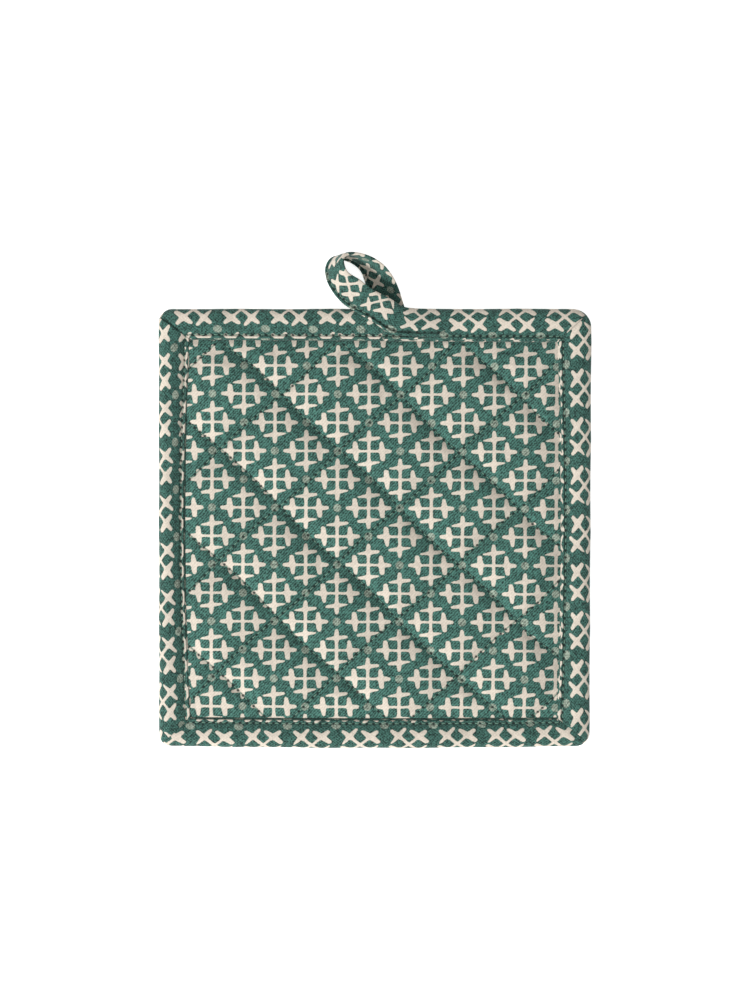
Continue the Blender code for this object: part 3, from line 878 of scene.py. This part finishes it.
def build_binding():
    stations = binding_stations()
    points, along = binding_surface(stations)
    surfaces["binding"] = (points, along)
    mesh = loft_mesh("bias_binding_cloth", points, ring=True)
    row, place = strip_corners(mesh, *points.shape[:2])
    write_uv(mesh, "print", binding_print(stations, points)[row, place])
    write_uv(mesh, "stitching", stitch_line(stations, points, along)[row, place])
    return mesh


# Hanging loop

def loop_stations():
    """Seam edge, free edge, thickness and crown of each section."""
    values = np.array([row[1:] for row in LOOP_ROWS])
    finer = smooth_rows(np.concatenate([values[:1], values, values[-1:]]), LOOP_STEPS)
    return np.concatenate([finer, values[-1:]])


def loop_section():
    """Share of the width and height of each section point, as a share of half the thickness."""
    shares = np.array(LOOP_SHARES)
    height = np.clip(1.0 - np.abs(2.0 * shares - 1.0) ** 10, 0.0, 1.0) ** 0.5
    height = height + LOOP_ROLL * bell(shares, *LOOP_ROLL_AT)
    height = height - bell(shares, LOOP_STITCH_SHARE, LOOP_GROOVE_WIDTH)
    outside = np.stack([shares, height], axis=1)
    inside = np.stack([shares[-2:0:-1], -height[-2:0:-1]], axis=1)
    return np.concatenate([outside, inside])


def loop_surface(stations, share, height):
    """Rows of section points, how far along each row is, and the way out of the loop's face."""
    seam, free = stations[:, 0:3], stations[:, 3:6]
    middle = (seam + free) / 2.0
    outward = np.cross(free - seam, np.gradient(middle, axis=0))
    outward /= np.linalg.norm(outward, axis=1, keepdims=True)
    steps = np.linalg.norm(np.diff(middle, axis=0), axis=1)
    along = np.concatenate([[0.0], np.cumsum(steps)])
    lift = stations[:, 6:7] / 2.0 * height + stations[:, 7:8] * (1.0 - (2.0 * share - 1.0) ** 2)
    sunk = bell(share, LOOP_STITCH_SHARE, LOOP_HOLE_WIDTH) * np.where(height >= 0.0, 1.0, -1.0)
    lift = lift - LOOP_HOLE_DEPTH * needle_hole(along / STITCH_PITCH)[:, None] * sunk
    wave = LOOP_UNEVEN_RISE * unevenness(along, 2.1, LOOP_UNEVEN_LENGTHS)
    lift = lift + wave[:, None] * np.sin(math.pi * share)
    flat = seam[:, None, :] + (free - seam)[:, None, :] * share[:, None]
    return flat + outward[:, None, :] * lift[:, :, None], along, outward


def loop_print(stations, along, share):
    """Print coordinates of each section point; the loop's print goes on from the top strip's."""
    lengths = np.concatenate([share * LOOP_WIDTH, [0.0]])
    face = len(LOOP_SHARES)
    lengths[face:] = 2.0 * LOOP_WIDTH - lengths[face:]
    near_rows = LOOP_STEPS * LOOP_NEAR_ROWS
    middle_x = (stations[:near_rows, 0] + stations[:near_rows, 3]) / 2.0
    start = np.interp(-LOOP_PRINT_X, -middle_x, along[:near_rows])
    run = PRINT_RUNS[0]
    strip_period = (run.start - run.end) / run.crosses
    beyond = np.clip((along - start - LOOP_PERIOD_FROM) / LOOP_PERIOD_OVER, 0.0, 1.0)
    period = strip_period + (LOOP_PERIOD - strip_period) * beyond
    cross = np.concatenate([[0.0], np.cumsum(np.diff(along) / period[1:])])
    cross -= np.interp(start, along, cross)
    near = bell(cross, LOOP_NUDGED, LOOP_NUDGE_SPREAD)
    cross = cross - LOOP_NUDGE_ALONG * near
    centre = LOOP_PRINT_CENTRE + LOOP_NUDGE_ACROSS * near
    row = (lengths - centre[:, None]) / BIAS_PERIOD_ACROSS
    return print_place(np.broadcast_to(cross[:, None], row.shape), row)


def build_loop():
    stations = loop_stations()
    share, height = loop_section().T
    points, along, outward = loop_surface(stations, share, height)
    surfaces["loop"] = (points, along, outward)
    mesh = loft_mesh("hanging_loop_cloth", points, ring=False)
    places = loop_print(stations, along, share)
    row, place = strip_corners(mesh, *points.shape[:2])
    row = np.minimum(row, len(points) - 1)
    write_uv(mesh, "print", places[row, place])
    off = (np.append(share, share[0]) - LOOP_STITCH_SHARE) * LOOP_WIDTH * MM
    write_uv(mesh, "stitching", np.stack([along[row] / STITCH_PITCH, off[place]], axis=-1))
    return mesh


# Stitches

def thread_mesh(name, stitches, radius):
    """One mesh of short bowed threads; each stitch is its start, end and the way up."""
    points, faces = [], []
    sides = range(THREAD_SIDES)
    ring = [(math.cos(2.0 * math.pi * side / THREAD_SIDES),
             math.sin(2.0 * math.pi * side / THREAD_SIDES)) for side in sides]
    for start, end, up in stitches:
        start, end, up = Vector(start), Vector(end), Vector(up).normalized()
        aside = (end - start).cross(up).normalized()
        first = len(points)
        for share, height in THREAD_PATH:
            centre = start.lerp(end, share + 0.5) + up * height
            thick = radius * (1.0 if abs(share) < 0.45 else 0.7)
            for across, along in ring:
                points.append((centre + aside * across * thick + up * along * thick * 0.8) * MM)
        last = len(points) - THREAD_SIDES
        for base in range(first, last, THREAD_SIDES):
            for side in sides:
                here, beside = base + side, base + (side + 1) % THREAD_SIDES
                faces.append((here, beside, beside + THREAD_SIDES, here + THREAD_SIDES))
        faces.append(tuple(first + side for side in sides)[::-1])
        faces.append(tuple(last + side for side in sides))
    mesh = bpy.data.meshes.new(name)
    mesh.from_pydata(points, [], faces)
    mesh.validate()
    return mesh


def stitch_parts(number, share):
    """Where the thread of a counted stitch starts and ends."""
    return number + 0.5 - share / 2.0, number + 0.5 + share / 2.0


def upward(front):
    return (0.0, 0.0, 1.0 if front else -1.0)


def stitches_on_line(line, ups, along, numbers, share):
    """Counted stitches on a line of points, which has a way up at each point."""
    def at(values, place):
        return [np.interp(place * STITCH_PITCH, along, values[:, axis]) for axis in range(3)]

    stitches = []
    for number in numbers:
        start, end = (at(line, part) for part in stitch_parts(number, share))
        stitches.append((start, end, at(ups, number + 0.5)))
    return stitches


def quilting_stitches(front, share):
    """Stitches along both sets of seams, on the front or on the back."""
    panel = surfaces["panel"]
    stitches = []
    for rising in (True, False):
        for seam in range(-5, 6):
            for number in range(-7 * STITCHES_A_SIDE, 7 * STITCHES_A_SIDE):
                ends = []
                for part in stitch_parts(number, share):
                    along = part / STITCHES_A_SIDE
                    rise, fall = (seam, along) if rising else (along, seam)
                    ends.append((QUILT_X + (rise + fall) * QUILT_HALF_WIDTH,
                                 QUILT_Y + (rise - fall) * QUILT_HALF_LENGTH))
                if min(inset(x, y) for x, y in ends) >= STITCHED_INSIDE:
                    start, end = (panel.place(x, y, front) for x, y in ends)
                    stitches.append((start, end, upward(front)))
    return stitches


def binding_stitches(front, share):
    """Stitches along the binding's inner fold."""
    points, along = surfaces["binding"]
    line = points[:, SECTION_SMOOTHING * (GROOVE_POINT if front else BACK_GROOVE_POINT)]
    ups = np.tile(upward(front), (len(line), 1))
    return stitches_on_line(line, ups, along, range(int(along[-1] / STITCH_PITCH)), share)


def loop_stitches(share):
    """Stitches along the loop's seam edge, on its outside."""
    points, along, outward = surfaces["loop"]
    line = points[:, LOOP_SHARES.index(LOOP_STITCH_SHARE)] + outward * LOOP_THREAD_LIFT
    last = int(along[-1] / STITCH_PITCH) - LOOP_STITCHES_LEFT_OUT
    return stitches_on_line(line, outward, along, range(LOOP_STITCHES_FROM, last), share)


# Node groups

class Graph:
    """Adds nodes to one node tree."""

    def __init__(self, tree):
        self.tree = tree

    def put(self, socket, value):
        if isinstance(value, bpy.types.NodeSocket):
            self.tree.links.new(value, socket)
        else:
            socket.default_value = value

    def node(self, kind, *values, **options):
        """Node with its options set, and its first sockets fed with the values."""
        node = self.tree.nodes.new("ShaderNode" + kind)
        for name, value in options.items():
            setattr(node, name, value)
        for socket, value in zip(node.inputs, values):
            self.put(socket, value)
        return node

    def maths(self, operation, *values):
        return self.node("Math", *values, operation=operation).outputs[0]

    def plus(self, first, second):
        return self.maths("ADD", first, second)

    def minus(self, first, second):
        return self.maths("SUBTRACT", first, second)

    def times(self, first, second):
        return self.maths("MULTIPLY", first, second)

    def vector(self, operation, *values):
        outputs = self.node("VectorMath", *values, operation=operation).outputs
        return outputs["Value" if operation == "LENGTH" else "Vector"]

    def split(self, value):
        return self.node("SeparateXYZ", value).outputs[:2]

    def join(self, x, y, z=0.0):
        return self.node("CombineXYZ", x, y, z).outputs[0]

    def noise(self, vector, scale, detail, roughness, output="Fac"):
        node = self.node("TexNoise", vector)
        for name, value in (("Scale", scale), ("Detail", detail), ("Roughness", roughness)):
            node.inputs[name].default_value = value
        return node.outputs[output]

    def white_noise(self, vector):
        return self.node("TexWhiteNoise", vector, noise_dimensions="2D").outputs["Value"]

    def span(self, value, low, high, to_low=0.0, to_high=1.0, kind="SMOOTHSTEP"):
        node = self.node("MapRange", value, low, high, to_low, to_high,
                         interpolation_type=kind, clamp=True)
        return node.outputs[0]

    def mix(self, share, first, second, blend="MIX"):
        node = self.node("Mix", share, data_type="RGBA", blend_type=blend)
        self.put(node.inputs[6], first)
        self.put(node.inputs[7], second)
        return node.outputs[2]

    def uv(self, name):
        return self.node("UVMap", uv_map=name).outputs[0]

    def group(self, tree, **values):
        node = self.node("Group", node_tree=tree)
        for name, value in values.items():
            self.put(node.inputs[name], value)
        return node.outputs

    def bump(self, shader, strength, distance, height):
        node = self.node("Bump")
        node.inputs["Strength"].default_value = strength
        node.inputs["Distance"].default_value = distance
        self.put(node.inputs["Height"], height)
        self.put(shader.inputs["Normal"], node.outputs[0])


def new_group(name, inputs, outputs):
    """Node group of number outputs; an input with a default is a number, any other a vector."""
    tree = bpy.data.node_groups.new(name, "ShaderNodeTree")
    for label, default in inputs.items():
        kind = "NodeSocketVector" if default is None else "NodeSocketFloat"
        socket = tree.interface.new_socket(label, in_out="INPUT", socket_type=kind)
        if default is not None:
            socket.default_value = default
    for label in outputs:
        tree.interface.new_socket(label, in_out="OUTPUT", socket_type="NodeSocketFloat")
    entry = tree.nodes.new("NodeGroupInput")
    leave = tree.nodes.new("NodeGroupOutput")
    return tree, Graph(tree), entry.outputs, leave.inputs


def cross_group():
    """One cross with a small bar over each arm: how far a place is inside it, in millimetres."""
    tree, graph, entry, leave = new_group("printed_cross", {"Place": None}, ("Depth",))
    x, y = graph.split(entry["Place"])
    depths = []
    for along, across, arms in ((x, y, CROSS_ARMS[0]), (y, x, CROSS_ARMS[1])):
        out = graph.maths("ABSOLUTE", along)
        side = graph.times(across, graph.maths("SIGN", along))
        half = graph.plus(graph.span(out, arms.star - 2.4, arms.star - 0.4, arms.thin, arms.wide),
                          graph.span(out, arms.star + 0.8, arms.tip, 0.0, -0.28))
        line = graph.minus(half, graph.maths("ABSOLUTE", side))
        depths.append(graph.maths("SMOOTH_MIN", line, graph.minus(arms.tip, out), 1.7))
        centre = graph.plus(arms.star, graph.times(side, arms.lean))
        off = graph.maths("ABSOLUTE", graph.minus(out, centre))
        share = graph.maths("DIVIDE", side, arms.reach)
        size = graph.maths("ABSOLUTE", share)
        taper = graph.times(graph.maths("POWER", size, 1.1), arms.bar - arms.bar_end)
        half = graph.plus(graph.minus(arms.bar, taper), graph.times(share, arms.bias))
        stop = graph.times(graph.minus(1.0, size), arms.reach)
        depths.append(graph.maths("SMOOTH_MIN", graph.minus(half, off), stop, 1.6))
    total = depths[0]
    for depth in depths[1:]:
        total = graph.maths("SMOOTH_MAX", total, depth, 0.9)
    graph.put(leave["Depth"], total)
    return tree


def print_group(cross):
    """Half-drop repeat of crosses with a dot between them, printed with slightly uneven edges."""
    _, graph, entry, leave = new_group(
        "block_print", {"Vector": None, "Wobble": 0.22, "Edge": 0.13}, ("Cross", "Dot"))
    place = graph.vector("MULTIPLY", entry["Vector"], (1000.0, 1000.0, 0.0))
    wobble = graph.noise(place, 0.55, 2.0, 0.6, "Color")
    wobble = graph.vector("SUBTRACT", wobble, (0.5, 0.5, 0.5))
    ease = graph.join(entry["Wobble"], entry["Wobble"])
    wobble = graph.vector("MULTIPLY", wobble, graph.vector("MULTIPLY", ease, (2.0, 2.0, 0.0)))
    place = graph.vector("ADD", place, wobble)
    x, y = graph.split(place)
    cells = []
    for shift_x, shift_y in ((0.0, 0.0), (PRINT_HALF_X, PRINT_HALF_Y)):
        cells.append((graph.maths("WRAP", graph.plus(x, shift_x), PRINT_HALF_X, -PRINT_HALF_X),
                      graph.maths("WRAP", graph.plus(y, shift_y), PRINT_HALF_Y, -PRINT_HALF_Y)))
    depth = graph.maths("MAXIMUM", *(graph.group(cross, Place=graph.join(*cell))["Depth"]
                                     for cell in cells))
    rag = graph.times(graph.minus(graph.noise(place, 2.4, 1.0, 0.5), 0.5), 0.45)
    depth = graph.plus(depth, rag)
    graph.put(leave["Cross"], graph.span(depth, graph.times(entry["Edge"], -1.0), entry["Edge"]))
    x, y = cells[0]
    beside_x = graph.minus(graph.maths("ABSOLUTE", x), PRINT_HALF_X)
    beside_y = graph.minus(graph.maths("ABSOLUTE", y), PRINT_HALF_Y)
    near = graph.maths("MINIMUM", graph.vector("LENGTH", graph.join(beside_x, y)),
                       graph.vector("LENGTH", graph.join(x, beside_y)))
    graph.put(leave["Dot"], graph.span(graph.plus(near, rag), DOT_EDGE, DOT_RADIUS))


def weave_group():
    """Woven cotton: slanting twill lines or crossed yarns, with their relief, and a shade that is
    partly painted shade and highlight of that relief and partly the yarns' own tones.
    """
    _, graph, entry, leave = new_group(
        "cotton_weave", {"Vector": None, "Yarn": 0.0009, "Crossed": 0.0}, ("Relief", "Shade"))
    bend = graph.noise(entry["Vector"], 260.0, 2.0, 0.6, "Color")
    bend = graph.vector("SUBTRACT", bend, (0.5, 0.5, 0.5))
    bend = graph.vector("MULTIPLY", bend, (YARN_BEND, YARN_BEND, 0.0))
    place = graph.vector("ADD", entry["Vector"], bend)
    turned = graph.node("Mapping", place)
    turned.inputs["Rotation"].default_value = (0.0, 0.0, -TWILL_SLANT)
    along, across, yarn_x, yarn_y = (
        graph.maths("DIVIDE", value, entry["Yarn"])
        for value in (*graph.split(turned.outputs[0]), *graph.split(place)))
    twill, grid_x, grid_y = (
        graph.plus(0.5, graph.times(graph.maths("COSINE", graph.times(value, 2.0 * math.pi)), 0.5))
        for value in (across, yarn_x, yarn_y))
    grid = graph.times(graph.plus(grid_x, grid_y), 0.5)
    relief = graph.plus(graph.times(twill, graph.minus(1.0, entry["Crossed"])),
                        graph.times(grid, entry["Crossed"]))
    graph.put(leave["Relief"], relief)
    line = graph.maths("FLOOR", graph.plus(across, 0.5))
    offset = graph.white_noise(graph.join(line, 5.0))
    cell = graph.maths("FLOOR", graph.plus(graph.times(along, CELLS_ALONG), offset))
    half_line = graph.maths("FLOOR", graph.times(across, CELLS_ACROSS))
    own = graph.white_noise(graph.join(cell, half_line))
    # The shade is partly painted light: dark between the yarns and light on them, after their relief
    shade = graph.plus(graph.times(relief, RELIEF_SHADE_SHARE), graph.times(own, OWN_SHARE))
    graph.put(leave["Shade"], shade)


def mottle_group():
    """Small uneven patches of dye, and a broad soft change of shade."""
    _, graph, entry, leave = new_group("dye_mottle", {"Vector": None}, ("Speckle", "Broad"))
    graph.put(leave["Speckle"], graph.noise(entry["Vector"], 620.0, 2.0, 0.6))
    graph.put(leave["Broad"], graph.noise(entry["Vector"], 38.0, 2.0, 0.5))


# Materials

def base_material(name):
    material = bpy.data.materials.new(name)
    material.use_nodes = True
    shader = material.node_tree.nodes["Principled BSDF"]
    for socket, value in (("Roughness", 0.88), ("Specular IOR Level", 0.25),
                          ("Sheen Weight", 0.12), ("Sheen Roughness", 0.5)):
        shader.inputs[socket].default_value = value
    return material, Graph(material.node_tree), shader


def scaled(values, *shares):
    """Colour times one share, or times one for each channel."""
    shares = shares if len(shares) == 3 else shares * 3
    return (*(min(1.0, value * share) for value, share in zip(values, shares)), 1.0)


def seam_distances(graph):
    """Distance in millimetres from the quilting's nearest seam, and from its nearest hole."""
    rise, fall = graph.split(graph.uv("quilting"))
    side = math.hypot(QUILT_HALF_WIDTH, QUILT_HALF_LENGTH)
    offs, aparts = [], []
    for across, along in ((rise, fall), (fall, rise)):
        offs.append(graph.times(graph.maths("PINGPONG", across, 0.5), side))
        run = graph.maths("PINGPONG", graph.times(along, float(STITCHES_A_SIDE)), 0.5)
        run = graph.times(run, side / STITCHES_A_SIDE)
        aparts.append(graph.vector("LENGTH", graph.join(offs[-1], run)))
    return graph.maths("MINIMUM", *offs), graph.maths("MINIMUM", *aparts)


def topstitch_distances(graph):
    """Distance in millimetres from the topstitching's line, and from its nearest hole."""
    counted, off = graph.split(graph.uv("stitching"))
    run = graph.times(graph.maths("PINGPONG", counted, 0.5), STITCH_PITCH)
    off = graph.maths("DIVIDE", off, MM)
    return graph.maths("ABSOLUTE", off), graph.vector("LENGTH", graph.join(off, run))


def printed_cloth(name, groups, quilted, darkness):
    """Printed cotton, with painted shade along the quilting's seams or the topstitching and in their
    needle holes.
    """
    sizes, colours = settings()
    material, graph, shader = base_material(name)
    vector = graph.uv("print")
    printed = graph.group(groups["print"], Vector=vector)
    weave = graph.group(groups["weave"], Vector=vector,
                        Yarn=sizes.yarn if quilted else 0.95 * sizes.yarn,
                        Crossed=0.2 if quilted else 0.85)
    mottle = graph.group(groups["mottle"], Vector=vector)
    speckle = graph.span(mottle["Speckle"], 0.35, 0.65, kind="LINEAR")
    shade = graph.plus(graph.times(speckle, SPECKLE_SHARE),
                       graph.times(weave["Shade"], WEAVE_SHARE))
    shade = graph.span(shade, 0.2, 0.8, kind="LINEAR")
    ground = scaled(colours.green, darkness)[:3]
    # The weave's shade carries painted shade and highlight of the yarns' relief into these colours
    green = graph.mix(shade, scaled(ground, GREEN_LOW), scaled(ground, *GREEN_HIGH))
    cream = graph.mix(shade, scaled(colours.cream, CREAM_LOW), scaled(colours.cream, CREAM_HIGH))
    dot = graph.mix(shade, scaled(colours.dot, DOT_LOW), scaled(colours.dot, DOT_HIGH))
    cloth = graph.mix(graph.times(printed["Dot"], DOT_STRENGTH), green, dot)
    cloth = graph.mix(printed["Cross"], cloth, cream)
    broad = graph.span(mottle["Broad"], 0.3, 0.7, 0.94, 1.05, "LINEAR")
    cloth = graph.mix(1.0, cloth, graph.join(broad, broad, broad), "MULTIPLY")
    # Painted shade along the quilting's seams or the topstitching's line, darkest at the line
    shade_line_distance, nearest = (seam_distances if quilted else topstitch_distances)(graph)
    groove = graph.span(shade_line_distance, *((0.75, 0.15) if quilted else (0.9, 0.2)))
    cloth = graph.mix(graph.times(groove, SEAM_SHADE_STRENGTH), cloth, SEAM_SHADE_COLOUR)
    # Painted shade in the needle holes
    hole = graph.span(nearest, HOLE_EDGE, HOLE_RADIUS)
    cloth = graph.mix(graph.times(hole, HOLE_SHADE_STRENGTH), cloth, HOLE_SHADE_COLOUR)
    graph.put(shader.inputs["Base Color"], cloth)
    graph.put(shader.inputs["Roughness"], graph.plus(0.80, graph.times(shade, 0.12)))
    height = graph.plus(weave["Relief"], graph.times(mottle["Speckle"], 1.2))
    graph.bump(shader, 0.8, sizes.weave_relief, height)
    return material


def thread_material(name):
    """Twisted sewing thread, with a slight change of shade along it."""
    material, graph, shader = base_material(name)
    thread = settings()[1].thread
    place = graph.node("TexCoord").outputs["Object"]
    twist = graph.node("TexWave", place, bands_direction="DIAGONAL")
    twist.inputs["Scale"].default_value = 900.0
    twist.inputs["Distortion"].default_value = 1.5
    uneven = graph.noise(place, 260.0, 2.0, 0.6)
    share = graph.plus(graph.times(twist.outputs["Fac"], 0.35), graph.times(uneven, 0.75))
    cord = graph.mix(share, scaled(thread, THREAD_LOW), scaled(thread, THREAD_HIGH))
    graph.put(shader.inputs["Base Color"], cord)
    graph.bump(shader, 0.7, 0.00006, twist.outputs["Fac"])
    return material


def node_groups():
    """The shared groups, made once."""
    if "block_print" not in bpy.data.node_groups:
        print_group(cross_group())
        weave_group()
        mottle_group()
    names = {"print": "block_print", "weave": "cotton_weave", "mottle": "dye_mottle"}
    return {key: bpy.data.node_groups[name] for key, name in names.items()}


def bias_cotton():
    return material_named("bias_cotton", printed_cloth, node_groups(), False, BINDING_DARKNESS)


def material_named(name, make, *values):
    return bpy.data.materials.get(name) or make(name, *values)


# Operators

class POTHOLDER_OT_quilted_panel(bpy.types.Operator):
    """Build the quilted, padded panel"""
    bl_idname = "pot_holder.quilted_panel"
    bl_label = "Quilted panel"

    def execute(self, context):
        sizes, _ = settings()
        mesh = build_panel(sizes.crown / MM)
        cloth = material_named("printed_cotton", printed_cloth, node_groups(), True, 1.0)
        piece = link_piece(mesh, "quilted_cloth", cloth)
        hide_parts("quilted_panel")
        return {"FINISHED"}


class POTHOLDER_OT_binding(bpy.types.Operator):
    """Build the bias binding round the edge"""
    bl_idname = "pot_holder.binding"
    bl_label = "Binding"

    def execute(self, context):
        piece = link_piece(build_binding(), "bias_binding_cloth", bias_cotton())
        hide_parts("binding")
        return {"FINISHED"}


class POTHOLDER_OT_hanging_loop(bpy.types.Operator):
    """Build the hanging loop"""
    bl_idname = "pot_holder.hanging_loop"
    bl_label = "Hanging loop"

    def execute(self, context):
        piece = link_piece(build_loop(), "hanging_loop_cloth", bias_cotton())
        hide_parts("hanging_loop")
        return {"FINISHED"}


class POTHOLDER_OT_stitching(bpy.types.Operator):
    """Build the quilting stitches and the topstitching of the binding and the loop"""
    bl_idname = "pot_holder.stitching"
    bl_label = "Stitching"

    def execute(self, context):
        sizes, _ = settings()
        thread = material_named("sewing_thread", thread_material)
        share = sizes.stitch_share
        rows = {
            "quilting_stitches_front": quilting_stitches(True, share),
            "quilting_stitches_back": quilting_stitches(False, share),
            "binding_stitches_front": binding_stitches(True, share),
            "binding_stitches_back": binding_stitches(False, share),
            "loop_stitches": loop_stitches(share),
        }
        for name, stitches in rows.items():
            link_piece(thread_mesh(name, stitches, THREAD_RADIUS), name, thread)
        return {"FINISHED"}


class POTHOLDER_OT_studio(bpy.types.Operator):
    """Set up the pale floor, the soft light and the camera"""
    bl_idname = "pot_holder.studio"
    bl_label = "Studio"

    def execute(self, context):
        scene = context.scene
        mesh = bpy.data.meshes.new("studio_floor")
        bm = bmesh.new()
        bmesh.ops.create_grid(bm, x_segments=2, y_segments=2, size=FLOOR_HALF_SIZE)
        bm.to_mesh(mesh)
        bm.free()
        floor = bpy.data.objects.new("studio_floor", mesh)
        floor.location.z = FLOOR_Z
        scene.collection.objects.link(floor)
        white = bpy.data.materials.new("studio_white")
        white.use_nodes = True
        shader = white.node_tree.nodes["Principled BSDF"]
        for name, value in (("Base Color", (0.93, 0.93, 0.93, 1.0)), ("Roughness", 1.0),
                            ("Specular IOR Level", 0.0), ("Emission Strength", FLOOR_GLOW),
                            ("Emission Color", (1.0, 1.0, 1.0, 1.0))):
            shader.inputs[name].default_value = value
        mesh.materials.append(white)
        world = bpy.data.worlds.new("studio_light")
        world.use_nodes = True
        background = world.node_tree.nodes["Background"]
        background.inputs["Color"].default_value = (1.0, 1.0, 1.0, 1.0)
        background.inputs["Strength"].default_value = SKY_STRENGTH
        scene.world = world
        for light in SOFT_LIGHTS:
            self.soft_light(scene, *light)
        camera_data = bpy.data.cameras.new("camera")
        camera_data.lens = LENS
        camera_data.sensor_width = SENSOR
        camera = bpy.data.objects.new("camera", camera_data)
        camera.location = (0.0, VIEW_CENTRE_Y, VIEW_HEIGHT * LENS / SENSOR + CLOTH_MIDDLE_Z)
        camera_data.clip_start = 0.01
        scene.collection.objects.link(camera)
        scene.camera = camera
        scene.view_settings.view_transform = "Standard"
        return {"FINISHED"}

    @staticmethod
    def soft_light(scene, name, place, size, power):
        data = bpy.data.lights.new(name, "AREA")
        data.shape = "DISK"
        data.size = size
        data.energy = power
        light = bpy.data.objects.new(name, data)
        light.location = place
        light.rotation_mode = "QUATERNION"
        light.rotation_quaternion = (-Vector(place)).to_track_quat("-Z", "Y")
        scene.collection.objects.link(light)


class POTHOLDER_PT_sidebar(bpy.types.Panel):
    """Sizes, colours and the steps that build the pot holder"""
    bl_label = "Pot holder"
    bl_idname = "POTHOLDER_PT_sidebar"
    bl_space_type = "VIEW_3D"
    bl_region_type = "UI"
    bl_category = "Pot holder"

    def draw(self, context):
        layout = self.layout
        sizes, colours = settings()
        for group in (sizes, colours):
            for name in group.__annotations__:
                layout.prop(group, name)
        for operator in STEPS:
            layout.operator(operator.bl_idname)


STEPS = (
    POTHOLDER_OT_quilted_panel,
    POTHOLDER_OT_binding,
    POTHOLDER_OT_hanging_loop,
    POTHOLDER_OT_stitching,
    POTHOLDER_OT_studio,
)
CLASSES = (PotHolderSizes, PotHolderColours) + STEPS + (POTHOLDER_PT_sidebar,)


def register():
    for item in CLASSES:
        bpy.utils.register_class(item)
    bpy.types.Scene.pot_holder_sizes = PointerProperty(type=PotHolderSizes)
    bpy.types.Scene.pot_holder_colours = PointerProperty(type=PotHolderColours)


def unregister():
    del bpy.types.Scene.pot_holder_colours
    del bpy.types.Scene.pot_holder_sizes
    for item in reversed(CLASSES):
        bpy.utils.unregister_class(item)


def main():
    register()
    bpy.ops.pot_holder.quilted_panel()
    bpy.ops.pot_holder.binding()
    bpy.ops.pot_holder.hanging_loop()
    bpy.ops.pot_holder.stitching()
    bpy.ops.pot_holder.studio()


if __name__ == "__main__":
    main()
